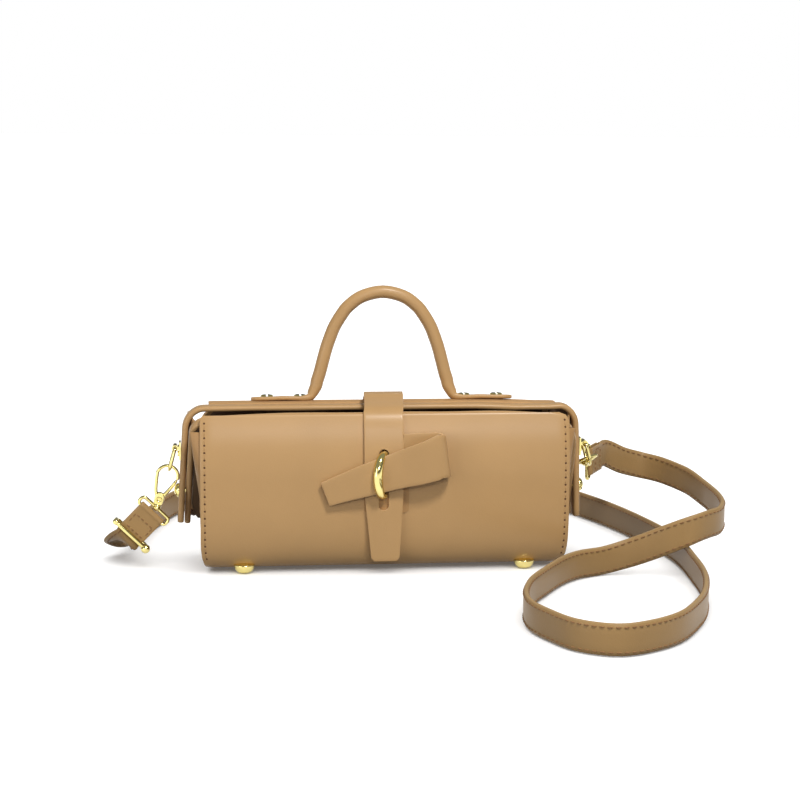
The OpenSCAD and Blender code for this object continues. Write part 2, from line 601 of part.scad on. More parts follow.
// Hook frames: the loop's top, and the directions of its gate side, its thickness and its length
left_axis = unit([0.27, 0, 0.96]);
right_axis = unit([-0.25, -0.93, 0.26]);
right_hang_angle = 50;
dring_down = [for (side = [-1, 1]) [side * sin(dring_lean), 0, -cos(dring_lean)]];
dring_centre = [for (i = [0, 1]) [(2 * i - 1) * lug_x, 0, lug_z] + (dring_l - dring_half) * dring_down[i]];
hang_room = dring_r + hook_r + soft_gap;
left_top = dring_centre[0] + dring_half * dring_down[0] + hang_room * left_axis;
right_out = cos(right_hang_angle) * dring_down[1] + sin(right_hang_angle) * [0, 1, 0];
right_top = dring_centre[1] + dring_half * right_out + hang_room * right_axis;
right_wire = -sin(right_hang_angle) * dring_down[1] + cos(right_hang_angle) * [0, 1, 0];
right_thick = unit(right_wire - (right_wire * right_axis) * right_axis);
hook_off = hook_loop_r / 5;
module left_hook() place() on_frame(left_top, cross([0, 1, 0], left_axis), [0, 1, 0], left_axis)
    translate([-hook_off, 0, 0]) children();
module right_hook() place() on_frame(right_top, cross(right_thick, right_axis), right_thick, right_axis)
    translate([-hook_off, 0, 0]) children();

boss_r = 2.6;
boss_t = 3.4;
boss_z = -0.8 * hook_l;
stem_r = 1;
gate_x = 0.6 * boss_r;
gate_z = boss_z + boss_r;
gate_eye_r = 1.3;
gate_pin_r = 0.5;
gate_r = 1;
gate_t = 1.6;
hook_tip = [hook_off + hook_loop_r, 0, -hook_loop_r];
hook_path = concat(
    [[-boss_r / 2, 0, boss_z + boss_r / 2], [-0.6 * hook_loop_r, 0, 0.55 * hook_l * -1]],
    [for (a = [180 : -22.5 : 0]) [hook_off + hook_loop_r * cos(a), 0, hook_loop_r * sin(a) - hook_loop_r]]);
module hook_body() difference() {
    union() {
        tube(hook_path, hook_r, [0, 1, 0], 10);
        translate([0, 0, boss_z]) rotate([90, 0, 0]) cylinder(h = boss_t, r = boss_r, center = true);
        translate([gate_x, 0, gate_z]) rotate([90, 0, 0]) cylinder(h = boss_t, r = gate_eye_r, center = true);
        translate([0, 0, -hook_l]) cylinder(h = hook_l + boss_z, r = stem_r);
    }
    translate([gate_x, 0, gate_z]) cube([4 * gate_eye_r, gate_t + 2 * face_gap, 2.4 * gate_eye_r], center = true);
    translate([gate_x, 0, gate_z]) rotate([90, 0, 0]) cylinder(h = boss_t + over, r = gate_pin_r + run_gap / 2, center = true);
}
module gate_pin() translate([gate_x, 0, gate_z]) rotate([90, 0, 0]) cylinder(h = boss_t, r = gate_pin_r, center = true);
gate_arm = [hook_tip[0] - gate_x, 0, hook_tip[2] - gate_z];
gate_l = norm(gate_arm) - hook_r;
module gate() difference() {
    union() {
        translate([gate_x, 0, gate_z]) rotate([90, 0, 0]) cylinder(h = gate_t, r = gate_eye_r - run_gap, center = true);
        translate([gate_x, 0, gate_z]) rotate([0, atan2(gate_arm[0], gate_arm[2]), 0])
            translate([0, 0, gate_eye_r - gate_r / 2]) cylinder(h = gate_l - gate_eye_r - gate_r / 2, r = gate_r / 2);
    }
    translate([gate_x, 0, gate_z]) rotate([90, 0, 0]) cylinder(h = boss_t + over, r = gate_pin_r + run_gap, center = true);
}
module hook_left() color(gold) left_hook() hook_body();
module hook_right() color(gold) right_hook() hook_body();
module gate_left() color(gold) left_hook() gate();
module gate_right() color(gold) right_hook() gate();
module gate_pin_left() color(gold) left_hook() gate_pin();
module gate_pin_right() color(gold) right_hook() gate_pin();

// Strap eyes: a long link whose near bar has a boss for the hook's stem
left_run = unit([-0.7, 0, -0.714]);
left_wide = cross([0, 1, 0], left_run);
right_run = unit([0.5, 0.86, 0.03]);
right_wide = unit(cross(cross(right_run, [0, 0, 1]), right_run));
left_swivel = left_top - hook_off * cross([0, 1, 0], left_axis) - (hook_l - stem_r) * left_axis;
right_swivel = right_top - hook_off * cross(right_thick, right_axis) - (hook_l - stem_r) * right_axis;
eye_boss_r = 1.8;
eye_side_r = eye_d / 2 - hook_r;
// Link in its own axes: x along its width, z away from the hook
module link() translate([0, 0, eye_side_r])
    loop(link_path(eye_w / 2 - hook_r, eye_side_r, eye_side_r * 0.6), hook_r, [0, 1, 0], 10);
module left_link() place() on_frame(left_swivel, left_wide, cross(left_run, left_wide), left_run) children();
module right_link() place() on_frame(right_swivel, right_wide, cross(right_run, right_wide), right_run) children();
module eye_left() color(gold) difference() {
    left_link() {
        link();
        sphere(eye_boss_r, $fn = 12);
    }
    left_hook() translate([0, 0, -2 * hook_l]) cylinder(h = 2 * hook_l, r = stem_r + run_gap);
}
module eye_right() color(gold) difference() {
    right_link() {
        link();
        sphere(eye_boss_r, $fn = 12);
    }
    right_hook() translate([0, 0, -2 * hook_l]) cylinder(h = 2 * hook_l, r = stem_r + run_gap);
}

// Folded strap end round the eye's far bar
fold_t = 1.5 * belt_t;
fold_z = 2 * eye_side_r;
module fold() difference() {
    union() {
        translate([-belt_w / 2, -fold_t / 2, fold_z]) cube([belt_w, fold_t, fold_l]);
        translate([0, 0, fold_z]) rotate([0, 90, 0]) cylinder(h = belt_w, r = fold_t / 2, center = true);
    }
    translate([0, 0, fold_z]) rotate([0, 90, 0]) cylinder(h = eye_w, r = hook_r + run_gap, center = true);
}
module strap_end_left() color(tan_colour) left_link() fold();
module strap_end_right() color(tan_colour) right_link() fold();

// Slider: an outer frame and a middle bar, with ball ends on its sides
slider_r = 1.6;
slider_w = 24;
slider_l = fold_t + 2 * (slider_r + run_gap);
slider_z = fold_z + fold_l - slider_r;
module slider() color(gold) left_link() translate([0, 0, slider_z]) {
    rotate([90, 0, 0]) loop(link_path(slider_w / 2, slider_l / 2, slider_r * 0.8), slider_r, [0, 1, 0], 10);
    for (x = [-slider_w / 2, slider_w / 2]) translate([x, -slider_l / 2, 0]) sphere(slider_r * 1.6, $fn = 12);
}

// Centreline of the shoulder strap from the right eye's fold to the slider
belt_start = right_swivel + [0, back_y, 0] + (fold_z + fold_l + face_gap) * right_run;
belt_end = left_swivel + [0, back_y, 0] + (fold_z + fold_l + face_gap) * left_run;
belt_route = [
    [150, 65, 54], [162, 72, 48], [175, 76, 44], [186, 70, 42], [194, 59, 40], [200, 46, 38],
    [204, 28, 35], [205, 12, 34], [205, -6, 33], [203, -22, 32], [197, -37, 31], [188, -47, 31],
    [177, -53, 29], [165, -51, 24], [152, -44, 17], [140, -40, 12], [126, -42, 9], [110, -51, 9], [97, -66, 9],
    [83, -90, 9], [73, -109, 9], [67, -126, 9], [63, -145, 9], [63, -163, 9], [68, -180, 9], [79, -202, 9],
    [97, -213, 9], [115, -208, 9], [135, -192, 9], [151, -166, 9], [162, -140, 9], [171, -104, 9], [175, -64, 9],
    [177, -28, 9], [175, 5, 9], [169, 40, 9], [161, 75, 9], [151, 107, 9], [138, 138, 9], [118, 168, 9],
    [88, 192, 9], [45, 207, 9], [0, 211, 9], [-45, 207, 9], [-88, 190, 9], [-113, 170, 9], [-125, 148, 9],
    [-133, 124, 9], [-141, 96, 9], [-148, 68, 10], [-154, 42, 12], [-159, 24, 14]];
belt_path = concat([belt_start, belt_start + belt_t * right_run], belt_route,
    [belt_end + belt_t * left_run, belt_end]);
belt_last = len(belt_path) - 1;
// The strap stands on its edge, and lies over to the eyes at its ends
belt_ref = [for (i = [0 : belt_last]) i < 2 ? right_wide : i > belt_last - 2 ? -left_wide
    : i == belt_last - 2 ? unit(mix(-left_wide, [0, 0, 1], 0.5)) : [0, 0, 1]];
belt_section = [for (q = [[1, -0.9], [1, 0.9], [0.6, 1], [-0.6, 1], [-1, 0.9], [-1, -0.9], [-0.6, -1], [0.6, -1]])
    [q[0] * belt_t / 2, q[1] * belt_w / 2]];
module shoulder_strap() color(tan_colour) sweep(belt_path, [for (p = belt_path) belt_section], belt_ref);

wrap();
front_fold();
front_panel();
front_board();
base_board();
lining();
end_left();
end_right();
gusset_left();
gusset_right();
outer_frame();
outer_bar();
inner_frame();
inner_bar();
pivot_rivets();
top_plate();
top_board();
handle();
handle_core();
handle_screws();
feet();
foot_washers();
closure_base();
closure_strap();
ring();
tongue_root();
tongue();
lug_left();
lug_right();
dring_left();
dring_right();
hook_left();
hook_right();
gate_left();
gate_right();
gate_pin_left();
gate_pin_right();
eye_left();
eye_right();
strap_end_left();
strap_end_right();
slider();
shoulder_strap();
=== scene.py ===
"""Looks of the barrel bag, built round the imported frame.

Shapes are worked out in the bag's own millimetres, with y = 0 in the plane of the frame's legs, and placed in the
row's frame at the end. Leather pieces are grids of two parameters, or sections carried along a path.
"""
import json
import math

import bpy
import numpy as np
from mathutils import Matrix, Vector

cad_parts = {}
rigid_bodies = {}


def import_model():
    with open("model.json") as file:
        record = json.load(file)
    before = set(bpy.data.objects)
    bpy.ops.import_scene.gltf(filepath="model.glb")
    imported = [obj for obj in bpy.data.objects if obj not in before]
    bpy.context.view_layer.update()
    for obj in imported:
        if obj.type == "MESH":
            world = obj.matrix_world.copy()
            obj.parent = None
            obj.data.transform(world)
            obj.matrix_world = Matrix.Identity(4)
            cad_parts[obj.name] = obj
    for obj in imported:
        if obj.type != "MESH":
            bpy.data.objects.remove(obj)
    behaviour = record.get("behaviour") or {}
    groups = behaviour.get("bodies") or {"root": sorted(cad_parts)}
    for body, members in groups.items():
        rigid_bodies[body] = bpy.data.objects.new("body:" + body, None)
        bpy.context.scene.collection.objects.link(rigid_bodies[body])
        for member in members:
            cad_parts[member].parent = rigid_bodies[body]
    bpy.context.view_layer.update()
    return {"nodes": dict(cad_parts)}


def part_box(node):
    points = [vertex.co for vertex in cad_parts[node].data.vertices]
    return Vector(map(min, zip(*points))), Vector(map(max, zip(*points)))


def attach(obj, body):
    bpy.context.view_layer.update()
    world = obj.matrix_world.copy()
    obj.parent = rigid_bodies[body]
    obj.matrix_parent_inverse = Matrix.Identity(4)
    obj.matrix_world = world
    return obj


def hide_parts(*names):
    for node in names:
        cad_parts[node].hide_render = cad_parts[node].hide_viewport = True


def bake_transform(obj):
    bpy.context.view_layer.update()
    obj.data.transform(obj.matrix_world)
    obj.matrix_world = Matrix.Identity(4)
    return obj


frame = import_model()

MM = 0.001
BACK_Y = 6.0          # the legs' plane lies this far behind the row's origin
SIDES = ((-1, "left"), (1, "right"))

# Body
BODY_HALF = 109.0
BODY_D = 66.0
BELLY_Z, EDGE_Z, LOW_Z = 57.0, 94.3, 12.9
DRAW_TOP, DRAW_LOW = 7.0, 0.5
WRAP_Z, WRAP_T = 2.8, 2.0
CORNER_Y = 20.0       # the bottom is flat up to here, and the barrel's lower half rounds out from it
BARREL_POWER = 3.5
REAR_TOP = 92.4
FRONT_CORNERS, REAR_CORNERS = (2.2, 6.0), (13.0, 7.0)     # radii of the sheet's top corners, left and right
CURL, CURL_W = 1.1, 7.0                                   # how far its side edges turn in, and over what width
SEAM_INSET, SEAM_PITCH = 2.7, 4.3
# Frames
FRAME_HALF, FRAME_TOP, FRAME_LOW, FRAME_R, FRAME_T, FRAME_D = 120.0, 96.4, 26.2, 13.0, 3.7, 10.0
INNER_HALF, INNER_T, INNER_D, INNER_R, INNER_H = 115.7, 3.2, 6.0, 9.9, 51.2
PIVOT_Z, LEAN = 45.5, math.radians(25.4)
# Handle
HANDLE_X, HANDLE_Y, HANDLE_HALF, HANDLE_RISE = 1.3, 12.0, 41.7, 64.7
# Strap, ring and tongue
STRAP_T, SLOT_X, SLOT_HALF = 2.2, -2.0, 2.9
SLOT_LOW, SLOT_TOP, STRAP_TIP = 38.3, 74.6, 7.8
HANG_Z = 88.5         # the closure strap hangs along the front from here down
# Hardware
DRING_R, DRING_HALF, DRING_L, DRING_LEAN, LUG_X, LUG_Z = 1.0, 7.0, 13.8, math.radians(15), 123.4, 71.3
HOOK_R, HOOK_LOOP_R, HOOK_L = 0.95, 6.2, 27.5
EYE_W, EYE_D = 23.0, 7.0
BELT_W, BELT_T, FOLD_L = 17.0, 3.0, 18.5


# ---- camera

def in_scene(name, data):
    """A new object of that data, linked to the scene."""
    thing = bpy.data.objects.new(name, data)
    bpy.context.scene.collection.objects.link(thing)
    return thing


def placement(x, y, z, place):
    """The matrix whose columns are three axes and a place."""
    return Matrix([[x[k], y[k], z[k], place[k]] for k in range(3)] + [[0, 0, 0, 1]])


def turned(a, b, angle):
    """Two axes at right angles, both turned by the angle from a towards b."""
    return a * math.cos(angle) + b * math.sin(angle), b * math.cos(angle) - a * math.sin(angle)


def aim_camera():
    """Sets the camera where a fit to the photograph put it: distance, height and four small angles."""
    azimuth, pitch, roll, yaw = (math.radians(a) for a in (-5.57, 8.49, 0.35, 0.54))
    reach, height, focal, picture, sensor = 1150.0, 270.3, 1940.8, 800, 36.0
    ahead = np.array([-math.sin(azimuth), math.cos(azimuth), 0.0])
    right = np.array([math.cos(azimuth), math.sin(azimuth), 0.0])
    place = (np.array([0, BACK_Y, height]) - reach * ahead) * MM
    ahead, right = turned(ahead, right, yaw)
    ahead, up = turned(ahead, np.array([0.0, 0.0, 1.0]), -pitch)
    right, up = turned(right, up, roll)
    data = bpy.data.cameras.new("view_camera")
    data.sensor_width = sensor
    data.lens = focal / picture * sensor
    data.clip_start, data.clip_end = 0.05, 20
    camera = in_scene("view_camera", data)
    camera.matrix_world = placement(right, up, -ahead, place)
    bpy.context.scene.camera = camera


aim_camera()


# ---- materials

def set_up(thing, values=None, **settings):
    """The thing with its settings changed and, where it is a node, with values for its input sockets by name."""
    for name, value in settings.items():
        setattr(thing, name, value)
    for name, value in (values or {}).items():
        thing.inputs[name].default_value = value
    return thing


def add_node(tree, kind, values=None, **settings):
    """A new node of that kind in the tree, set up."""
    return set_up(tree.nodes.new(kind), values, **settings)


def connect(tree, *links):
    """Links, each given as (node, output, node, input)."""
    for source, output, target, socket in links:
        tree.links.new(source.outputs[output], target.inputs[socket])


def colour_ramp(tree, colour, low, high, start=0.0, end=1.0):
    """A ramp from the colour times low at start to the colour times high at end."""
    ramp = tree.nodes.new("ShaderNodeValToRGB")
    for stop, position, strength in zip(ramp.color_ramp.elements, (start, end), (low, high)):
        set_up(stop, position=position, color=(*[min(1, c * strength) for c in colour], 1))
    return ramp


def shader(name, colour, roughness, metallic=0.0):
    """A Principled material and its node tree."""
    material = bpy.data.materials.new(name)
    material.use_nodes = True
    material.diffuse_color = (*colour, 1)
    tree = material.node_tree
    values = {"Base Color": (*colour, 1), "Roughness": roughness, "Metallic": metallic}
    return material, tree, set_up(tree.nodes["Principled BSDF"], values)


def mottled(tree, node, colour, spread, scale, detail=3.0):
    """Soft cloudy change of colour about the given one, from a noise in Object coordinates."""
    where = add_node(tree, "ShaderNodeTexCoord")
    noise = add_node(tree, "ShaderNodeTexNoise", {"Scale": scale, "Detail": detail})
    ramp = colour_ramp(tree, colour, 1 - spread, 1 + spread, 0.3, 0.7)
    connect(tree, (where, "Object", noise, "Vector"), (noise, "Fac", ramp, "Fac"),
            (ramp, "Color", node, "Base Color"))
    return where


def leather(name, colour, roughness=0.5, grain=0.13, spread=0.035, coat=0.3, gloss=0.25):
    """Smooth finished leather: cloudy colour, fine pebbled grain with pores, and roughness that follows the grain."""
    material, tree, node = shader(name, colour, roughness)
    where = mottled(tree, node, colour, spread, 26)
    pebble = add_node(tree, "ShaderNodeTexVoronoi", {"Scale": 1500}, feature="SMOOTH_F1")
    pore = add_node(tree, "ShaderNodeTexNoise", {"Scale": 700, "Detail": 4})
    both = add_node(tree, "ShaderNodeMath", operation="ADD")
    bump = add_node(tree, "ShaderNodeBump", {"Strength": grain, "Distance": 0.00025})
    wear = add_node(tree, "ShaderNodeMapRange", {"To Min": roughness - 0.05, "To Max": roughness + 0.07})
    connect(tree, (where, "Object", pebble, "Vector"), (where, "Object", pore, "Vector"),
            (pebble, "Distance", both, 0), (pore, "Fac", both, 1), (both, "Value", bump, "Height"),
            (bump, "Normal", node, "Normal"), (pore, "Fac", wear, "Value"), (wear, "Result", node, "Roughness"))
    set_up(node, {"Specular IOR Level": gloss, "Coat Weight": coat, "Coat Roughness": 0.26, "Sheen Weight": 0.05})
    return material


def metal(name, colour, roughness):
    """Plated metal with a faint uneven polish."""
    uneven = 0.05
    material, tree, node = shader(name, colour, roughness, 1.0)
    where = mottled(tree, node, colour, 0.05, 180)
    rub = add_node(tree, "ShaderNodeTexNoise", {"Scale": 900})
    span = add_node(tree, "ShaderNodeMapRange", {"To Min": roughness - uneven, "To Max": roughness + uneven})
    connect(tree, (where, "Object", rub, "Vector"), (rub, "Fac", span, "Value"), (span, "Result", node, "Roughness"))
    return material


def woven(name, colour, pitch=0.0007):
    """Plain weave: two crossed wave textures in Object coordinates, as bump and as a change of colour."""
    material, tree, node = shader(name, colour, 0.85)
    where = add_node(tree, "ShaderNodeTexCoord")
    both = add_node(tree, "ShaderNodeMath", operation="MULTIPLY")
    for k, direction in enumerate("XZ"):
        wave = add_node(tree, "ShaderNodeTexWave", {"Scale": 0.314 / pitch, "Distortion": 0.6},
                        bands_direction=direction)
        connect(tree, (where, "Object", wave, "Vector"), (wave, "Fac", both, k))
    ramp = colour_ramp(tree, colour, 0.72, 1.15)
    bump = add_node(tree, "ShaderNodeBump", {"Strength": 0.5, "Distance": 0.0002})
    connect(tree, (both, "Value", ramp, "Fac"), (ramp, "Color", node, "Base Color"),
            (both, "Value", bump, "Height"), (bump, "Normal", node, "Normal"))
    return material


def board(name, colour):
    """Pressed board: fine speckle and a rough surface."""
    material, tree, node = shader(name, colour, 0.9)
    mottled(tree, node, colour, 0.2, 1400, detail=6)
    return material


tan_leather = leather("tan_leather", (0.47, 0.281, 0.116))
top_leather = leather("top_leather", (0.45, 0.262, 0.112), roughness=0.62, coat=0, gloss=0.06)
gusset_leather = leather("gusset_leather", (0.40, 0.225, 0.088), roughness=0.55, spread=0.05, coat=0.15)
strap_leather = leather("strap_leather", (0.35, 0.212, 0.082), grain=0.18, coat=0.12)
strap_edge = leather("strap_edge", (0.36, 0.235, 0.105), roughness=0.6, grain=0.3, coat=0)
# Near-black leather for the gussets' deep pleats: painted shade, far darker than the leather's own colour.
painted_fold_shade = leather("painted_fold_shade", (0.085, 0.048, 0.022), roughness=0.8, coat=0)
cut_edge = leather("cut_edge", (0.55, 0.345, 0.165), roughness=0.55, grain=0.3, coat=0)
thread = leather("thread", (0.27, 0.145, 0.06), roughness=0.7, grain=0.5, coat=0)
# Near-black discs for the needle holes: painted shade for the inside of each hole.
painted_hole_shade = leather("painted_hole_shade", (0.10, 0.045, 0.02), roughness=0.8, coat=0)
gold = metal("gold_plate", (0.77, 0.66, 0.265), 0.14)
steel = metal("steel", (0.55, 0.56, 0.58), 0.35)
lining_cloth = woven("lining_cloth", (0.16, 0.09, 0.05))
core_cord = woven("core_cord", (0.62, 0.55, 0.42), 0.0006)
pressed_board = board("pressed_board", (0.28, 0.23, 0.16))


# ---- mesh tools

def unit(v):
    """Vectors of length 1 along the given ones."""
    v = np.asarray(v, float)
    return v / np.maximum(np.linalg.norm(v, axis=-1, keepdims=True), 1e-12)


def smooth_line(points, steps):
    """Catmull-Rom curve through the points, with that many steps from each to the next."""
    p = np.asarray(points, float)
    p = np.vstack([2 * p[0] - p[1], p, 2 * p[-1] - p[-2]])
    s = np.linspace(0, 1, steps, endpoint=False)[None, :, None]
    a, b, c, d = (p[k:len(p) - 3 + k][:, None] for k in range(4))
    line = 0.5 * (2 * b + (c - a) * s + (2 * a - 5 * b + 4 * c - d) * s ** 2 + (3 * b - 3 * c + d - a) * s ** 3)
    return np.vstack([line.reshape(-1, p.shape[1]), p[-2]])


def run_along(line):
    """Length along a line from its start to each of its points."""
    return np.concatenate([[0], np.cumsum(np.linalg.norm(np.diff(line, axis=0), axis=1))])


def corner_in(r, depth):
    """How far a round corner of radius r lies in, at a depth from 0 to r past its start: r - root(r2 - depth2)."""
    return r - np.sqrt(np.maximum(r * r - np.clip(depth, 0, r) ** 2, 0))


def grid(*parts):
    """Points from arrays of their coordinates, one array for each axis, spread over one grid."""
    return np.stack(np.broadcast_arrays(*parts), -1)


def ratio(a, b):
    """a / b, held between 0 and 1."""
    return np.clip(a / b, 0, 1)


def grid_faces(rows, columns, round_rows=False, round_columns=False):
    """Four corners of each cell of a grid of points, which may close on itself either way."""
    i = np.arange(rows if round_rows else rows - 1)[:, None]
    j = np.arange(columns if round_columns else columns - 1)[None, :]
    k, m = (i + 1) % rows, (j + 1) % columns
    return grid(i * columns + j, k * columns + j, k * columns + m, i * columns + m).reshape(-1, 4)


def tube_faces(rings, sides, closed=False):
    """Faces of a tube of rings with that many sides, with a lid at each end where it isn't closed on itself."""
    faces = grid_faces(rings, sides, closed, True).tolist()
    if not closed:
        faces += [list(range(sides))[::-1], list(range((rings - 1) * sides, rings * sides))]
    return faces


def rounded_rect(w, h, r, steps=4):
    """Quarter circles of radius r about the corners of a w - 2r by h - 2r rectangle."""
    turn = np.linspace(0, np.pi / 2, steps)
    parts = [grid(sx * (w / 2 - r) + r * np.cos(turn + k * np.pi / 2),
                  sy * (h / 2 - r) + r * np.sin(turn + k * np.pi / 2))
             for k, (sx, sy) in enumerate(((1, 1), (-1, 1), (-1, -1), (1, -1)))]
    return np.concatenate(parts)


def circle(r, sides):
    """Evenly spaced points on a circle of radius r about the origin."""
    turn = np.arange(sides) * 2 * np.pi / sides
    return grid(r * np.cos(turn), r * np.sin(turn))


def path_axes(path, ref, closed=False):
    """Side and up at each point of a path: side is heading x ref, and up is side x heading."""
    ahead = unit(np.roll(path, -1, 0) - np.roll(path, 1, 0) if closed else np.gradient(path, axis=0))
    side = unit(np.cross(ahead, np.broadcast_to(np.asarray(ref, float), path.shape)))
    return side, np.cross(side, ahead)


def sweep(path, section, ref, closed=False, scale=None):
    """A section carried along a path, closed at its ends, as (points, faces). scale is a factor for each path point."""
    path = np.asarray(path, float)
    section = np.asarray(section, float)
    if section.ndim == 2:
        section = np.broadcast_to(section, (len(path), *section.shape))
    if scale is not None:
        section = section * np.asarray(scale, float).reshape(len(path), 1, -1)
    side, up = path_axes(path, ref, closed)
    points = path[:, None] + section[..., :1] * side[:, None] + section[..., 1:] * up[:, None]
    return points.reshape(-1, 3), tube_faces(*section.shape[:2], closed)


def rounding(path, reach, least):
    """Factors that round the two ends of a swept piece off over that reach, from the least one up to 1."""
    run = run_along(path)
    to_end = ratio(np.minimum(run, run[-1] - run), reach)
    return least + (1 - least) * np.sqrt(1 - (1 - to_end) ** 2)


def lathe(profile, centre, axis, sides=32):
    """A profile of (radius, height) turned about an axis through centre, closed at both poles."""
    profile = np.asarray(profile, float)
    axis = unit(axis)
    first = unit(np.cross(axis, [0.31, 0.52, 0.79]))
    second = np.cross(axis, first)
    ring = circle(1, sides)
    points = (np.asarray(centre, float) + profile[:, None, 1:] * axis
              + profile[:, None, :1] * (ring[None, :, :1] * first + ring[None, :, 1:] * second))
    return points.reshape(-1, 3), tube_faces(len(profile), sides)


def pin(foot, axis, r, length, sides):
    """A plain cylinder of radius r from its foot along the axis."""
    return lathe([[0.3, 0], [r, 0], [r, length], [0.3, length]], foot, axis, sides)


def bead(centre, axis, r, half_l, sides):
    """An ellipsoid of radius r and half length half_l along its axis."""
    a = np.radians(np.linspace(-86, 86, 13))
    return lathe(grid(r * np.cos(a), half_l * np.sin(a)), centre, axis, sides)


def together(*parts):
    """Several (points, faces) as one."""
    points, faces, start = [], [], 0
    for p, f in parts:
        points.append(np.asarray(p, float))
        faces += [[i + start for i in one] for one in f]
        start += len(p)
    return np.vstack(points), faces


def repeated(faces, copies, step):
    """The faces of one copy, for each of several copies of that many points."""
    return [[i + step * k for i in one] for k in range(copies) for one in faces]


def turned_out(mesh):
    """Turns a closed mesh's faces round if its signed volume, the sum of a . (b x c) over its triangles, is below 0."""
    mesh.calc_loop_triangles()
    corners, places = np.empty(len(mesh.loop_triangles) * 3, np.int32), np.empty(len(mesh.vertices) * 3, np.float32)
    mesh.loop_triangles.foreach_get("vertices", corners)
    mesh.vertices.foreach_get("co", places)
    a, b, c = places.reshape(-1, 3)[corners].reshape(-1, 3, 3).astype(float).transpose(1, 0, 2)
    if np.einsum("ij,ij->", a, np.cross(b, c)) < 0:
        mesh.flip_normals()


pieces = {}


def make(name, points, faces, finish, slot, wall=0.0, edge=0.0, crease=40.0, picks=None, at_back=True, weld=False,
         lined=False):
    """A finished piece: a mesh from points in millimetres, with its wall, edge rounding and smooth shading.

    wall is a thickness that goes inwards from the faces, and edge is the radius of its rounded rim. finish is a
    material or a list, and picks holds the number of the one that each face takes. The second finish goes on the rim,
    or on the inner side where the piece is lined. A piece that stands for the node of the same name is called that
    with _finished."""
    points = (np.asarray(points, float) + [0, BACK_Y if at_back else 0, 0]) * MM
    finishes = finish if isinstance(finish, list) else [finish]
    label = name + "_finished" if name in frame["nodes"] else name
    mesh = bpy.data.meshes.new(label)
    mesh.from_pydata(points.tolist(), [], [list(map(int, f)) for f in faces])
    for material in finishes:
        mesh.materials.append(material)
    if picks is not None:
        mesh.polygons.foreach_set("material_index", np.asarray(picks, np.int32))
    mesh.update()
    if not wall:
        turned_out(mesh)
    piece = pieces[name] = in_scene(label, mesh)
    if weld:
        set_up(piece.modifiers.new("weld", "WELD"), merge_threshold=1e-5)
    if wall:
        solid = set_up(piece.modifiers.new("wall", "SOLIDIFY"), thickness=wall * MM, offset=-1, use_even_offset=True)
        if lined:
            solid.material_offset = 1
        elif len(finishes) > 1:
            solid.material_offset_rim = 1
    if edge:
        set_up(piece.modifiers.new("edge", "BEVEL"), width=edge * MM, segments=2, limit_method="ANGLE",
               angle_limit=math.radians(50))
    if piece.modifiers:
        made = bpy.context.evaluated_depsgraph_get()
        settled = bpy.data.meshes.new_from_object(piece.evaluated_get(made), depsgraph=made)
        piece.modifiers.clear()
        piece.data = settled
    piece.data.shade_smooth()
    piece.data.set_sharp_from_angle(angle=math.radians(crease))
    return piece


def sheet(name, points, finish, slot, flip=False, **settings):
    """A piece from one grid of points, with its outer side on the other face of the grid where flip is true."""
    faces = grid_faces(*points.shape[:2])
    return make(name, points.reshape(-1, 3), faces[:, ::-1] if flip else faces, finish, slot, **settings)


def ride(piece, body, *nodes):
    """The piece moves with the body, and stands for the nodes."""
    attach(piece, body)
    if nodes:
        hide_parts(*nodes)
    return piece


def across_joint(piece, child, start, end):
    """Bakes the piece's placement into its mesh; the piece does not bend. child, start and end are not used."""
    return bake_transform(piece)


def gilded(name, body, *parts, crease=40.0):
    """The gold piece that stands for the node of its name, from its parts, moving with the body."""
    ride(make(name, *together(*parts), gold, "gold", crease=crease), body, name)


def seam_points(line, out, pitch, start=0.5):
    """Points, headings and outward directions at that pitch along a line."""
    run = run_along(line)
    count = int((run[-1] - 2 * start * pitch) / pitch) + 1
    at = start * pitch + np.arange(count) * pitch
    return [np.stack([np.interp(at, run, values[:, k]) for k in range(3)], -1)
            for values in (line, np.gradient(line, axis=0), out)]


def stitches(centres, along, out, length, r):
    """Half-sunk thread loops, one at each centre: four six-sided rings along the seam, small at the ends."""
    along, out = unit(along), unit(out)
    side = np.cross(along, out)
    steps = np.array([-0.5, -0.3, 0.3, 0.5]) * length
    radii = np.array([0.35, 1.0, 1.0, 0.35]) * r
    lift = np.array([-0.5, 0.35, 0.35, -0.5]) * r
    turn = circle(1, 6)
    points = (centres[:, None, None] + steps[None, :, None, None] * along[:, None, None]
              + lift[None, :, None, None] * out[:, None, None]
              + radii[None, :, None, None] * (turn[None, None, :, :1] * side[:, None, None]
                                              + turn[None, None, :, 1:] * out[:, None, None]))
    return points.reshape(-1, 3), repeated(tube_faces(4, 6), len(centres), 24)


# ---- shoulder strap

def belt_frames():
    """Axes of both hooks, then of the links behind them, each as (origin, x, y, z). The left hook hangs at the lowest
    point of its D-ring, and the right one 50 degrees further round, to the rear. A strap end runs along its link's z.
    """
    hooks, links = [], []
    for side, pull, axis, run in ((-1, 0, [0.27, 0, 0.96], [-0.7, 0, -0.714]),
                                  (1, 50, [-0.25, -0.93, 0.26], [0.5, 0.86, 0.03])):
        axis, run = unit(axis), unit(run)
        down = np.array([side * math.sin(DRING_LEAN), 0, -math.cos(DRING_LEAN)])
        centre = np.array([side * LUG_X, 0, LUG_Z]) + (DRING_L - DRING_HALF) * down
        out, wire = turned(down, np.array([0, 1, 0]), math.radians(pull))
        top = centre + DRING_HALF * out + (DRING_R + HOOK_R + 0.3) * axis
        thick = unit(wire - wire.dot(axis) * axis)
        wide = np.cross(thick, axis)
        hooks.append((top - HOOK_LOOP_R / 5 * wide, wide, thick, axis))
        wide = unit(np.cross(np.cross(run, [0, 0, 1]), run))
        links.append((hooks[-1][0] - (HOOK_L - 1) * axis, wide, np.cross(run, wide), run))
    return *hooks, *links


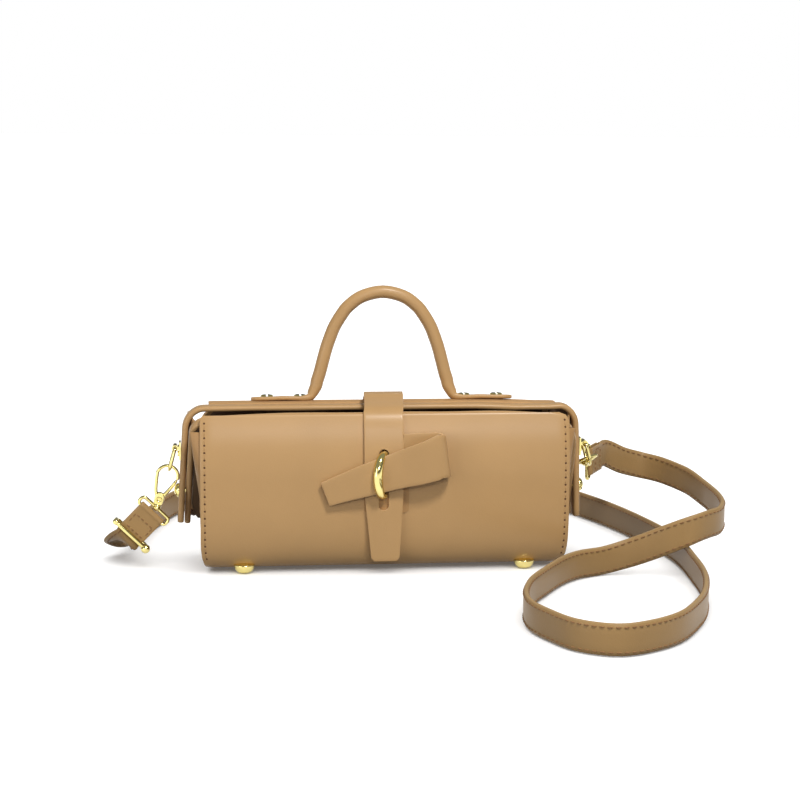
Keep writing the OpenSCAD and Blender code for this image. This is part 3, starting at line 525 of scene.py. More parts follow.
LEFT_HOOK, RIGHT_HOOK, LEFT_LINK, RIGHT_LINK = belt_frames()
EYE_SIDE_R = EYE_D / 2 - HOOK_R
FOLD_Z = 2 * EYE_SIDE_R
FOLD_T = 1.5 * BELT_T


def on_frame(points, axes):
    """Points given in a placed piece's own axes."""
    origin, x, y, z = axes
    points = np.asarray(points, float)
    return origin + points[..., :1] * x + points[..., 1:2] * y + points[..., 2:] * z


# The strap's route in the row's millimetres, as in the part's source
BELT_ROUTE = [
    [150, 65, 54], [162, 72, 48], [175, 76, 44], [186, 70, 42], [194, 59, 40], [200, 46, 38],
    [204, 28, 35], [205, 12, 34], [205, -6, 33], [203, -22, 32], [197, -37, 31], [188, -47, 31],
    [177, -53, 29], [165, -51, 24], [152, -44, 17], [140, -40, 12], [126, -42, 9], [110, -51, 9], [97, -66, 9],
    [83, -90, 9], [73, -109, 9], [67, -126, 9], [63, -145, 9], [63, -163, 9], [68, -180, 9], [79, -202, 9],
    [97, -213, 9], [115, -208, 9], [135, -192, 9], [151, -166, 9], [162, -140, 9], [171, -104, 9], [175, -64, 9],
    [177, -28, 9], [175, 5, 9], [169, 40, 9], [161, 75, 9], [151, 107, 9], [138, 138, 9], [118, 168, 9],
    [88, 192, 9], [45, 207, 9], [0, 211, 9], [-45, 207, 9], [-88, 190, 9], [-113, 170, 9], [-125, 148, 9],
    [-133, 124, 9], [-141, 96, 9], [-148, 68, 10], [-154, 42, 12], [-159, 24, 14]]


def shoulder_strap():
    """A flat band on its edge: a crowned 17 by 3 mm section along the smooth route, stitched near both edges."""
    back = np.array([0, BACK_Y, 0])
    start = RIGHT_LINK[0] + back + (FOLD_Z + FOLD_L + 0.1) * RIGHT_LINK[3]
    end = LEFT_LINK[0] + back + (FOLD_Z + FOLD_L + 0.1) * LEFT_LINK[3]
    knots = np.vstack([start, start + BELT_T * RIGHT_LINK[3], BELT_ROUTE, end + BELT_T * LEFT_LINK[3], end])
    refs = np.tile([0.0, 0.0, 1.0], (len(knots), 1))
    refs[:2] = RIGHT_LINK[1]
    refs[-2:] = -LEFT_LINK[1]
    refs[-3] = unit((-LEFT_LINK[1] + [0, 0, 1]) / 2)
    path, ref = smooth_line(knots, 7), smooth_line(refs, 7)
    half = np.linspace(-1, 1, 9)
    crown = 0.5 * BELT_T * (0.74 + 0.26 * np.sqrt(1 - np.abs(half) ** 3 * 0.999))
    face = grid(crown, half * (BELT_W / 2 - 0.5))
    face[[1, 7], 0] -= 0.12
    rim = np.array([[0.55, BELT_W / 2 - 0.1], [0.0, BELT_W / 2], [-0.55, BELT_W / 2 - 0.1]])
    section = np.vstack([face, rim, -face, -rim])
    points, faces = sweep(path, section, ref)
    lane = np.concatenate([np.tile(np.arange(len(section)), len(path) - 1), [0, 0]])
    rim_lanes = [8, 9, 10, 11, 20, 21, 22, 23]
    picks = np.isin(lane, rim_lanes).astype(int)
    belt = make("shoulder_strap", points, faces, [strap_leather, strap_edge], "leather_strap", picks=picks,
                at_back=False, crease=60)
    ride(belt, "bag", "shoulder_strap")
    side, up = path_axes(path, ref)
    rows, seam_at, sunk, pitch, stitch_l, thread_r = [], 6.5, 0.17, 4.2, 2.9, 0.42
    for edge in (-1, 1):
        for face_side in (-1, 1):
            line = path + up * edge * seam_at + side * face_side * (BELT_T / 2 - sunk)
            rows.append(stitches(*seam_points(line, side * face_side, pitch), stitch_l, thread_r))
    seam = make("shoulder_strap_stitches", *together(*rows), thread, "leather_strap", at_back=False)
    ride(seam, "bag")
    return belt, seam, path, start


belt_pieces = shoulder_strap()


# ---- body

def side_y(z, inset=0.0):
    """Distance of the front and the rear from the legs' plane at height z: a parabola above and below the belly."""
    z = np.asarray(z, float)
    above = DRAW_TOP * ((z - BELLY_Z) / (EDGE_Z - BELLY_Z)) ** 2
    below = DRAW_LOW * ((BELLY_Z - z) / (BELLY_Z - LOW_Z)) ** 2
    return BODY_D / 2 - inset - np.where(z > BELLY_Z, above, below)


def barrel_y(z, inset=0.0):
    """Distance of the leather from the legs' plane: side_y above the belly, and a superellipse of powers 2 and 3.5
    below it, from the belly to the flat bottom."""
    z = np.asarray(z, float)
    share = ratio(BELLY_Z - z, BELLY_Z - WRAP_Z - inset)
    low = CORNER_Y + (BODY_D / 2 - CORNER_Y - inset) * np.sqrt(np.maximum(1 - share ** BARREL_POWER, 0))
    return np.where(z > BELLY_Z, side_y(z, inset), low)


def skin_profile():
    """(y, z) from the rear's top edge round the bottom to the front's top edge."""
    rear_z = np.linspace(REAR_TOP, BELLY_Z, 16)[:-1]
    front_z = np.linspace(BELLY_Z, EDGE_Z, 24)[1:]
    share = np.linspace(0, 1, 34)
    corner_z = BELLY_Z - (BELLY_Z - WRAP_Z) * np.sin(share * np.pi / 2) ** (2 / BARREL_POWER)
    corner_z = np.interp(share ** 0.8, share, corner_z)
    corner = grid(barrel_y(corner_z), corner_z)
    floor = grid(np.linspace(CORNER_Y, -CORNER_Y, 10)[1:-1], WRAP_Z)
    rear = grid(side_y(rear_z), rear_z)
    front = grid(-side_y(front_z), front_z)
    return np.vstack([rear, corner, floor, (corner * [-1, 1])[::-1], front])


def sheet_half(side, y, z):
    """Half width of the one sheet: it draws in near the bottom by a flattened quarter circle from z = 21 down, and its
    top corners are round."""
    draw_in = 4.3 * (1 - np.sqrt(1 - 0.95 * ratio(21 - z, 18.2) ** 2))
    r = np.where(y < 0, FRONT_CORNERS[side > 0], REAR_CORNERS[side > 0])
    return BODY_HALF - draw_in - corner_in(r, z - (np.where(y < 0, EDGE_Z, REAR_TOP) - r))


def edge_curl(x):
    """Share of the side edges' turn inwards at that distance from the middle: a square from 0 to 1."""
    return ratio(np.abs(x) - (BODY_HALF - CURL_W), CURL_W) ** 2


FRONT_BEND = ((0, -side_y(35) + 1, 25.8), (0, -side_y(35) - 8, 33.4))


def body_skin():
    """The one sheet of the rear, the bottom and the front. Its ends draw in at the bottom and round off on top, and
    its columns lie closer together towards the ends, by a sine."""
    y, z = skin_profile().T[:, :, None]
    spread = 0.86 * np.pi / 2
    u = np.sin(np.linspace(-1, 1, 61) * spread)[None] / math.sin(spread)
    x = np.where(u < 0, u * sheet_half(-1, y, z), u * sheet_half(1, y, z))
    curl = edge_curl(u * BODY_HALF)
    y = y - np.sign(y) * CURL * curl * ratio(z - 4, 10)
    z = z + np.where(z < 8, 0.5 * curl, 0)
    skin = sheet("body_skin", grid(x, y, z), [tan_leather, cut_edge], "leather_tan", flip=True, wall=WRAP_T, edge=0.5)
    across_joint(skin, "front", *FRONT_BEND)
    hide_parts("wrap", "front_fold", "front_panel")


body_skin()


def edge_seams():
    """Thread and needle holes down both side edges of the front and of the rear, 2.7 mm in from the edge."""
    threads, holes, stitch_l, thread_r, hole_r = [], [], 2.6, 0.30, 0.72
    profile = skin_profile()
    disc = circle(hole_r, 8)[None]
    disc_faces = [[j, (j + 1) % 8, 8 + (j + 1) % 8, 8 + j] for j in range(8)]
    disc_faces += [list(range(8))[::-1], list(range(8, 16))]
    for sign, top in ((-1, 93.2), (1, 91.0)):
        seen = (profile[:, 0] * sign > 0) & (profile[:, 1] > 9) & (profile[:, 1] < top)
        y, z = profile[seen].T[:, ::-sign]
        for side in (-1, 1):
            x = side * (sheet_half(side, y, z) - SEAM_INSET)
            line = grid(x, y - sign * CURL * edge_curl(x), z)
            out = np.tile(unit([0.18 * side, sign, 0]), (len(z), 1))
            threads.append(stitches(*seam_points(line, out, SEAM_PITCH), stitch_l, thread_r))
            centres, along, outward = seam_points(line, out, SEAM_PITCH, 0.0)
            along = unit(along)[:, None]
            ring = disc[..., :1] * np.cross(along, unit(outward)[:, None]) + disc[..., 1:] * along
            deep = centres[:, None] + ring - 0.3 * outward[:, None]
            shown = centres[:, None] + ring * 0.92 + 0.05 * outward[:, None]
            holes.append((np.concatenate([deep, shown], 1).reshape(-1, 3), repeated(disc_faces, len(centres), 16)))
    seam = make("body_stitches", *together(*threads), tan_leather, "leather_tan")
    across_joint(seam, "front", *FRONT_BEND)
    # The needle holes are flat dark discs on the surface: painted shade, not real holes.
    dots = make("body_needle_holes", *together(*holes), painted_hole_shade, "leather_tan")
    across_joint(dots, "front", *FRONT_BEND)


edge_seams()


def end_walls():
    """Recessed leather ends between the front and the rear, slightly crowned outwards."""
    z = np.concatenate([[6.1, 6.4, 7.0], np.linspace(8, 31.9, 14)])[:, None]
    v = np.linspace(-1, 1, 27)[None, :]
    crown = 1.3 * (1 - v ** 2) * np.sin(ratio(z - 5, 30) * np.pi * 0.6)
    for side, where in SIDES:
        points = grid(side * (BODY_HALF - 5.4 + crown), v * barrel_y(z, WRAP_T + 0.1), z)
        wall = sheet("end_" + where, points, gusset_leather, "leather_end", flip=side > 0, wall=1.3, edge=0.4)
        ride(wall, "bag", "end_" + where)


end_walls()


def leg_shift(side, z):
    """How far the frames' legs stand outwards at height z: they splay towards their feet."""
    return np.interp(z, [26, 45, 70, 88], [2.4, 1.5, 0.0, -1.1] if side < 0 else [0.9, 0.5, 0.0, -0.9])


def gussets():
    """Folded end leather. In plan it leaves the front's edge as a flap that is widest at the top, turns back into a
    deep pleat, passes inside and behind the inner frame's leg, meets the outer leg and slants in to the rear's edge.

    Each row's knots are (x, y, share), where the share of the height goes from the front's 0 to the rear's 1."""
    foot_z, front_h, rear_h, edge_x, pleat_x = 27.3, 56.7, 64.5, 106.8, 103.6
    for side, where, keep, flap_w in ((-1, "left", (0.3, -0.2), 5.3), (1, "right", (1.0, 1.0), 3.4)):
        rows = []
        for share in np.linspace(0, 1, 24):
            front_z, rear_z = foot_z + share * front_h, foot_z + share * rear_h
            full = ratio(front_z - 45, 39)
            low = ratio(front_z - 27, 9) ** 0.5
            wide, back = float(side_y(front_z)), float(side_y(rear_z))
            lean = -(front_z - PIVOT_Z) * math.tan(LEAN)
            out = float(leg_shift(side, front_z))
            flap = 0.2 + flap_w * full
            turn = (lean - 4.2 + wide - 3.0) * 0.5
            knots = [
                [edge_x, -wide + 2.2, 0], [108.4 + 0.35 * flap, -wide + 3.2, 0],
                [109.0 + flap, -wide + 3.4 + 0.45 * turn, 0], [108.6 + 0.86 * flap, -wide + 4.0 + 0.8 * turn, 0],
                [104.6, -wide + 3.4 + 1.05 * turn, 0], [pleat_x, -wide + 3.0 + 1.45 * turn, 0],
                [107.4 + 0.4 * out, lean - 6.0, 0], [111.3 + out, lean - 3.4, 0], [111.8 + out, lean + 1.0, 0],
                [112.4 + out, lean + 4.6, 0.3], [115.6 + out, max(lean + 7.4, 3.0), 0.8],
                [116.9 + out, max(lean + 10.5, 5.9), 1], [114.2 + 0.5 * out, 13.5, keep[0]], [110.6, 22.0, keep[1]],
                [107.6, back - 4.5, keep[1]], [edge_x, back - 2.3, keep[1]]]
            line = smooth_line(knots, 4)
            line[:, 0] = pleat_x + (line[:, 0] - pleat_x) * (0.6 + 0.4 * low)
            height = front_z + np.clip(line[:, 2], -0.3, 1) * (rear_z - front_z)
            rows.append(grid(side * line[:, 0], line[:, 1], height))
        points = np.array(rows + [rows[-1] + [-side * 0.8, 0, 0.5]])
        lane = np.tile(np.arange(points.shape[1] - 1), len(points) - 1)
        # The pleat's lanes take the near-black leather: painted shade in the deep fold.
        in_pleat = (lane > 8) & (lane < 31)
        piece = sheet("gusset_" + where, points, [gusset_leather, lining_cloth, painted_fold_shade], "leather_end",
                      flip=side > 0, wall=1.0, edge=0.25, crease=60, picks=np.where(in_pleat, 2, 0), lined=True)
        ahead = np.array([0, -math.cos(LEAN / 2), -math.sin(LEAN / 2)])
        pivot = np.array([0, 0, PIVOT_Z])
        across_joint(piece, "front", pivot - 4 * ahead, pivot + 5 * ahead)
        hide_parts("gusset_" + where)


gussets()


def lining():
    """Cloth lining: the floor and the rear wall inside, and the cloth-covered board inside the front.

    Each is a profile carried along x; the front's face stands off its board by 1.1 mm times the root of the
    distance from the edge, so its rim turns in.
    """
    z = np.linspace(90.3, 12.0, 24)
    rear = grid(barrel_y(z, WRAP_T + 0.3), z)
    floor = [[24.0, 9.6], [21.0, 8.9], [12.0, 8.8], [0.0, 8.8], [-12.0, 8.8], [-21.0, 8.8]]
    profile = np.vstack([rear, floor])
    x = np.linspace(-102.2, 102.2, 41)
    sag = 0.075 * np.sin(x / 17.0) * np.sin(x / 41.0)
    cloth = sheet("lining", grid(x, profile[:, :1], profile[:, 1:] + sag), lining_cloth, "lining", wall=0.8, edge=0.2)
    ride(cloth, "bag", "lining")
    z = np.linspace(46.3, 87.0, 18)[:, None]
    v = np.linspace(-1, 1, 41)[None, :]
    edge = np.clip((1 - np.abs(v)) * 102 / 6, 0, 1)
    rise = ratio(np.minimum(z - 46, 87.3 - z), 5)
    puff = 1.1 * np.sqrt(edge) * np.sqrt(rise)
    panel = sheet("front_lining", grid(v * 101.8, puff - side_y(z, WRAP_T + 0.6), z), lining_cloth, "lining",
                  flip=True, wall=-0.5, edge=0.2)
    ride(panel, "front", "front_board")


lining()


# ---- frames and top

def arch_line(half, low, top, r, right_r):
    """Left leg's foot up, round the corners and down to the right leg's foot, in the x-z plane."""
    def side(radius):
        turn = np.radians(np.linspace(180, 90, 12))
        rise = np.concatenate([[low, low + 0.5, low + 1.2], np.linspace(low + 1.2, top - radius, 15)[1:]])
        leg = grid(-half, rise)
        corner = grid(-half + radius + radius * np.cos(turn), top - radius + radius * np.sin(turn))[1:]
        bar = grid(np.linspace(-half + radius, 0, 20)[1:], top)
        return np.vstack([leg, corner, bar])
    return np.vstack([side(r), (side(right_r) * [-1, 1])[::-1][1:]])


def splayed(path):
    """The path with its legs moved outwards by leg_shift, and its bar as it is."""
    x, z = path[:, 0], path[:, 2]
    shift = np.where(x < 0, leg_shift(-1, z), leg_shift(1, z)) * ratio(np.abs(x) - 100, 12)
    return path + grid(np.sign(x) * shift, 0.0, 0.0)


def leather_frame(name, half, low, top, r, right_r, t, d, lean, body, node, bar, bar_size):
    """A covered frame: a rounded section carried along the arch, closed softly at the feet, and its steel bar inside.

    The leaning frame bows up by 2.4 mm in its middle. The upright one is slimmer along its bar, and dips at its right.
    """
    line = arch_line(half - t / 2, low, top - t / 2, r - t / 2, right_r - t / 2)
    if lean:
        line[:, 1] += 2.4 * (1 - ratio(np.abs(line[:, 0]) - 58, 46) ** 2) * (line[:, 1] > 0)
    flat = grid(line[:, 0], 0.0, line[:, 1])
    c, s = math.cos(lean), math.sin(lean)
    path = splayed(flat @ np.array([[1, 0, 0], [0, c, s], [0, -s, c]]) + (0, 0, PIVOT_Z if lean else 0))
    x = path[:, 0]
    if not lean:
        path[:, 2] -= ratio(x - 58, 22) * ratio(112 - x, 9) * (path[:, 2] > 85)
    scale = np.ones(len(path))
    scale[[0, -1]], scale[[1, -2]] = 0.62, 0.9
    wave = 1 + 0.05 * np.sin(x * 0.11 + 0.6) * (np.abs(x) < 105)
    slim = ratio(114 - np.abs(x), 10) * (0.0 if lean else -0.12)
    section = rounded_rect(t, d, min(t * 0.46, d * 0.3), 6)
    cover = make(name + "_cover", *sweep(path - grid(0.0, 0.0, slim * t / 2), section, (0, c, s),
                                         scale=grid(scale * wave * (1 + slim), scale * wave)),
                 tan_leather, "leather_tan", crease=60)
    ride(cover, body, node)
    steel_bar = make(name + "_bar", *sweep(path[3:-3], rounded_rect(*bar_size, 0.3, 3), (0, c, s)), steel, "steel")
    ride(steel_bar, body, bar)


leather_frame("outer_frame", FRAME_HALF, FRAME_LOW, FRAME_TOP, FRAME_R, FRAME_R, FRAME_T, FRAME_D, 0.0, "bag",
              "outer_frame", "outer_bar", (1.5, 5.0))
leather_frame("inner_frame", INNER_HALF + 0.2, -(PIVOT_Z - 24.2) / math.cos(LEAN), INNER_H, INNER_R, 19.0,
              INNER_T + 0.4, INNER_D, LEAN, "front", "inner_frame", "inner_bar", (1.2, 3.0))


def top_cover():
    """Leather over the top board: rises behind the frame and slopes down under the handle to the rear's edge."""
    profile = smooth_line([[3.4, 96.25], [5.6, 96.68], [9.3, 96.9], [13, 96.65], [17.5, 95.95], [21.5, 95.3],
                           [24.6, 94.75], [26.0, 94.35]], 3)
    y, z = profile.T[:, :, None]
    u = np.linspace(-1, 1, 81)[None, :]
    end_in = 2.6 * ratio(y - 22.5, 3.5) ** 2
    x = u * (np.where(u < 0, 103.4, 106.6) - end_in)
    sink = 0.25 * ratio(np.abs(x) - 99, 6.5) ** 2
    slope = 0.5 - 1.4 * ratio(x - 50, 45) ** 2
    points = grid(x, y, z - sink + slope)
    cover = sheet("top_cover", points, [top_leather, cut_edge], "leather_tan", flip=True, wall=1.7, edge=0.45)
    ride(cover, "bag", "top_plate")
    inner = points[3:-4] * [0.97, 1, 1] - [0, 0, 1.78]
    ride(sheet("top_board", inner, pressed_board, "board", flip=True, wall=1.2), "bag", "top_board")


top_cover()


def handle():
    """Rolled handle: a round tube that flattens at its feet and runs out into two tabs that lie on the sloping top.

    Its knots run from the left tab's end to the middle, and are mirrored. Each has a half thickness and half width.
    """
    floor_z = 97.8
    shares = [[0.96, 0.125], [0.945, 0.17], [0.906, 0.25], [0.82, 0.46], [0.76, 0.575], [0.69, 0.685], [0.585, 0.795],
              [0.49, 0.87], [0.295, 0.958], [0, 1]]
    tab = [[79.2, 0.3], [78.4, 0.35], [76.0, 0.4], [72, 0.42], [66, 0.5], [60, 0.72], [54, 0.55], [49.5, 0.45],
           [45.9, 0.7], [43.4, 1.6], [41.9, 4.2]]
    halves = [[1.2, 0.85], [3.0, 1.15], [4.9, 1.3], [5.5, 1.35], [5.5, 1.35], [5.5, 1.4], [5.4, 1.4], [5.1, 1.5],
              [4.8, 2.0], [4.5, 2.6], [4.2, 3.3], [4.0, 3.75]] + [[3.9, 3.9]] * (len(shares) - 1)
    knots = [[-x, z] for x, z in tab + [[x * HANDLE_HALF, z * HANDLE_RISE] for x, z in shares]]
    knots += [[-x, z] for x, z in knots[:-1][::-1]]
    halves += halves[:-1][::-1]
    line, sizes = smooth_line(knots, 5), smooth_line(halves, 5)
    path = grid(HANDLE_X + line[:, 0], HANDLE_Y, floor_z + line[:, 1])
    turn = np.linspace(0, 2 * np.pi, 28, endpoint=False)
    power = 1 - 0.45 * ratio(sizes[:, :1] / sizes[:, 1:] - 1.1, 1.6)
    cos, sin = np.cos(turn)[None], np.sin(turn)[None]
    section = grid(np.sign(cos) * np.abs(cos) ** power * sizes[:, 1:],
                   np.sign(sin) * np.abs(sin) ** power * sizes[:, :1])
    points, faces = sweep(path, section, (0, 1, 0))
    tilt = np.repeat(ratio(9 - line[:, 1], 7), len(turn)) * 0.15
    points[:, 2] -= tilt * (points[:, 1] - HANDLE_Y)
    ride(make("handle", points, faces, tan_leather, "leather_tan", crease=60), "bag", "handle")


handle()


# ---- closure

def strap_section_y(z):
    """Outer face of the hanging strap at height z."""
    return -(side_y(np.minimum(z, EDGE_Z)) + 0.4 + STRAP_T)


def closure_strap():
    """The strap from the top plate's rear over the frame and down the front. Two grids lie left and right of its slot
    and meet above and below it."""
    over = smooth_line([[23.6, 97.3], [17.5, 98.4], [12.5, 99.6], [8.7, 101.6], [4.5, 103.1], [0.0, 103.4],
                        [-4.5, 103.0], [-8.0, 101.7]], 5)
    neck = smooth_line([[-8.0, 101.7], [-12.5, 100.4], [-18.0, 99.1], [-22.8, 97.7], [-26.3, 95.6], [-28.6, 92.7],
                        [float(strap_section_y(HANG_Z)), HANG_Z]], 4)
    quarter = np.linspace(0, np.pi / 2, 8)
    top_end, low_end = SLOT_TOP - SLOT_HALF, SLOT_LOW + SLOT_HALF
    z = np.concatenate([np.linspace(HANG_Z, SLOT_TOP, 8)[1:-1], top_end + SLOT_HALF * np.cos(quarter),
                        np.linspace(top_end, low_end, 14)[1:-1], low_end - SLOT_HALF * np.sin(quarter),
                        np.linspace(SLOT_LOW, STRAP_TIP, 16)[1:]])
    hang = grid(strap_section_y(z) + 0.25 * ratio(20 - z, 12), z)
    y, z = np.vstack([over, neck[1:-1], hang]).T
    front = np.arange(len(z)) >= len(over) + len(neck) - 2
    taper = ratio(45 - z, 37) * front
    down = ratio(102.4 - z, 7) * (y < 0)
    middle = 0.5 + 1.6 * ratio(y + 1, 12) - 2.3 * down + 1.0 * taper
    half = 11.6 - 0.4 * ratio(60 - z, 15) * front - 3.0 * taper
    half = half - corner_in(1.6, STRAP_TIP + 1.6 - z) * front
    past = np.maximum(np.maximum(z - top_end, low_end - z), 0)
    gap = np.sqrt(np.maximum(SLOT_HALF ** 2 - past ** 2, 0)) * (front & (z <= SLOT_TOP) & (z >= SLOT_LOW))
    u = np.linspace(0, 1, 9)[None, :]
    left = (middle - half)[:, None] * (1 - u) + (SLOT_X - gap)[:, None] * u
    right = (SLOT_X + gap)[:, None] * (1 - u) + (middle + half)[:, None] * u
    parts = [(grid(x, y[:, None], z[:, None]).reshape(-1, 3), grid_faces(*x.shape).tolist()) for x in (left, right)]
    strap = make("closure_strap", *together(*parts), [tan_leather, cut_edge], "leather_tan", wall=STRAP_T, edge=0.5,
                 weld=True)
    across_joint(strap, "closure_flap", (0, 5.5, 101.7), (0, -1.5, 101.7))
    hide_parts("closure_base", "closure_strap")


closure_strap()


def tongue():
    """A leather tongue: one ply against the front, a round fold, and a ply that runs left and down through the ring.

    The plan is carried upwards between a lower and an upper edge, each given by its height along x."""
    root_x = np.linspace(9.8, 30.8, 12)
    turn = np.radians(np.linspace(90, -90, 13))
    plan = np.vstack([
        grid(root_x, -33.35),
        grid(31.5 + 3.9 * np.cos(turn), -37.4 + 4.05 * np.sin(turn)),
        smooth_line([[29.5, -41.5], [23, -41.0], [16, -39.8], [8.7, -38.6], [2, -38.15], [-6, -38.1], [-14.7, -37.6],
                     [-24, -36.3], [-32, -35.3], [-39, -34.7]], 4)])
    x, y = plan[:, :1], plan[:, 1:]
    ply = (np.arange(len(x)) >= len(root_x) + len(turn))[:, None]
    tight = ratio(x - 30.5, 4.9) ** 3
    reach = ratio(30.5 - x, 69.5) * ply
    top = np.where(ply, np.interp(-x, [-32, -22, -8.7, 14.7, 39], [84.2, 80.0, 75.3, 66.5, 55.4]),
                   np.interp(x, [9.8, 30], [83.4, 84.1])) - 1.3 * tight
    low = np.where(ply, np.interp(-x, [-32, -20, 1, 18, 39], [58.0, 54.9, 50.5, 46.5, 41.6]), 58.5)
    v = np.linspace(0, 1, 11)[None, :]
    slant = 5.2 * (1 - v) * reach ** 3 - 3.4 * v * ratio(x - 8, 24)
    bow = 0.35 * np.sin(np.pi * v) * np.clip(1 - np.abs(x + 2) / 24, 0, 1) * ply
    bulge = 0.5 * np.exp(-((x - 20) / 8.0) ** 2) * ply
    strip = sheet("tongue", grid(x + slant, y - bow - bulge, low * (1 - v) + top * v), [tan_leather, cut_edge],
                  "leather_tan", wall=1.9, edge=0.5)
    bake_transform(strip)
    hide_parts("tongue_root", "tongue")


tongue()


def ring_and_patch():
    """The gold staple through the slot, thick in the middle, and the thin leather patch that it is fixed through."""
    ring_x, ring_z, half, foot_r, full_r, root_y = -1.8, 59.5, 12.2, 2.05, 2.85, -31.0
    foot_y = -(float(side_y(ring_z)) + STRAP_T + 0.4)
    bulge = BODY_D / 2 + 12 - 2.4 + foot_y
    a = np.radians(np.linspace(-90, 90, 37))
    bow = grid(ring_x - 0.62 * bulge * np.cos(a), foot_y - bulge * np.cos(a), ring_z + half * np.sin(a))
    line = smooth_line(np.vstack([[ring_x, root_y, ring_z - half], bow, [ring_x, root_y, ring_z + half]]), 2)
    thick = np.concatenate([[0, 0], np.sin(np.radians(np.linspace(0, 180, 37))), [0, 0]])
    r = foot_r + (full_r - foot_r) * np.interp(np.linspace(0, 1, len(line)), np.linspace(0, 1, 41), thick)
    gilded("ring", "front", sweep(line, circle(1, 20)[None] * r[:, None, None], (1, 0, 0)), crease=80)
    z = np.linspace(36.5, 52.0, 12)[:, None]
    x = np.linspace(-1, 1, 15)[None, :] * (13.2 - corner_in(2.2, 38.7 - z)) - 0.2
    # The patch takes the darker end leather: partly its own tone, partly painted shade for the slot that it shows
    # through.
    patch = sheet("ring_patch", grid(x, -(side_y(z) + 0.36), z), gusset_leather, "leather_tan", flip=True, wall=0.34)
    across_joint(patch, "front", *FRONT_BEND)


ring_and_patch()


# ---- hardware

def link_line(half_w, half_l, r):
    """Closed line of a rounded link in the x-z plane."""
    return np.insert(rounded_rect(2 * half_w, 2 * half_l, r, 7), 1, 0, axis=1)


def moved(part, axes):
    """A part with its points taken from a placed piece's own axes to the bag's."""
    return on_frame(part[0], axes), part[1]


def hook(axes):
    """Trigger hook: a wire loop on a flat oval body with a ringed rivet, and a collar over the swivel."""
    boss_z, off = -0.76 * HOOK_L, HOOK_LOOP_R / 5
    a = np.radians(np.linspace(180, 0, 13))
    loop = grid(off + HOOK_LOOP_R * np.cos(a), 0.0, HOOK_LOOP_R * np.sin(a) - HOOK_LOOP_R)
    knots = np.vstack([[-1.8, 0, boss_z + 1.0], [-0.56 * HOOK_LOOP_R, 0, -0.55 * HOOK_L], loop,
                       [off + HOOK_LOOP_R - 0.1, 0, -HOOK_LOOP_R - 1.0]])
    path = smooth_line(knots, 4)
    wire = sweep(path, circle(HOOK_R * 1.02, 16), (0, 1, 0), scale=rounding(path, 1.0, 0.4))
    turn = circle(1, 28)
    oval = np.sign(turn) * np.abs(turn) ** 0.8 * [3.0, 4.1]
    body = sweep(grid(0.0, np.array([-1.65, -1.5, -1.1, 1.1, 1.5, 1.65]), boss_z), oval, (0, 0, 1),
                 scale=[0.86, 0.95, 1, 1, 0.95, 0.86])
    rings = [lathe([[0.2, 0.1], [0.9, 0.1], [1.1, 0.25], [1.35, 0.55], [1.7, 0.55], [1.9, 0.25], [2.0, 0],
                    [2.0, -0.4], [0.2, -0.4]], (0.1, s * 1.65, boss_z - 0.4), (0, s, 0), 24) for s in (-1, 1)]
    collar = lathe([[0.3, 0], [1.5, 0], [2.3, 0.5], [2.5, 1.1], [2.3, 1.7], [1.9, 1.95], [2.3, 2.2], [2.45, 2.7],
                    [2.2, 3.2], [1.6, 3.5], [0.3, 3.5]], (0, 0, -HOOK_L), (0, 0, 1), 28)
    return together(*(moved(p, axes) for p in (wire, body, *rings, collar)))


def gate(axes):
    """Sprung gate: a tapered arm from the body to the loop's tip."""
    start, end = np.array([1.56, 0, -19.4]), np.array([7.35, 0, -7.15])
    path = start + np.linspace(0, 1, 12)[:, None] * (end - start)
    path[:, 0] += 0.35 * np.sin(np.linspace(0, np.pi, 12))
    scale = rounding(path, 0.8, 0.35) * np.linspace(1.2, 0.86, 12)
    return moved(sweep(path, circle(1.0, 14), (0, 1, 0), scale=scale), axes)


def dring(side):
    """D-ring: its straight bar in the lug, a leg, a half circle and the other leg, all leaning by the ring's angle."""
    lean, leg = side * DRING_LEAN, DRING_L - DRING_HALF
    a = np.radians(np.linspace(0, 180, 17))[1:]
    up, y = np.concatenate([
        grid(0.0, np.linspace(-DRING_HALF, DRING_HALF, 9)),
        grid(-np.linspace(0, leg, 6)[1:], DRING_HALF),
        grid(-leg - DRING_HALF * np.sin(a), DRING_HALF * np.cos(a)),
        grid(-np.linspace(leg, 0, 6)[1:-1], -DRING_HALF)]).T
    path = grid(side * LUG_X - up * math.sin(lean), y, LUG_Z + up * math.cos(lean))
    return sweep(path, circle(DRING_R, 16), (math.cos(lean), 0, math.sin(lean)), closed=True)


def strap_hardware():
    """Hooks, gates, eyes and D-rings of both sides, and the slider with its two ball ends."""
    for (side, where), axes, link in zip(SIDES, (LEFT_HOOK, RIGHT_HOOK), (LEFT_LINK, RIGHT_LINK)):
        gilded("hook_" + where, "bag", hook(axes))
        gilded("gate_" + where, "gate_" + where, gate(axes))
        wire = link_line(EYE_W / 2 - HOOK_R, EYE_SIDE_R, EYE_SIDE_R * 0.85) + [0, 0, EYE_SIDE_R]
        eye = sweep(on_frame(wire, link), circle(HOOK_R + 0.1, 16), link[2], closed=True)
        gilded("eye_" + where, "bag", eye, bead(link[0], link[1], 1.9, 2.3, 20))
        gilded("dring_" + where, "dring_" + where, dring(side), crease=80)
    wire_r, half_w = 1.6, 12
    slider_z, half_l = FOLD_Z + FOLD_L - wire_r, (FOLD_T + 2 * wire_r + 0.1) / 2
    wire = link_line(half_w, half_l, wire_r * 1.3)[:, [0, 2, 1]] + [0, 0, slider_z]
    bar = sweep(on_frame(wire, LEFT_LINK), circle(wire_r * 0.9, 16), LEFT_LINK[3], closed=True)
    balls = [bead(on_frame([x, -half_l, slider_z], LEFT_LINK), LEFT_LINK[1], r, r, 24)
             for x, r in ((-half_w, 2.75), (half_w, 1.95))]
    gilded("slider", "bag", bar, *balls)


strap_hardware()


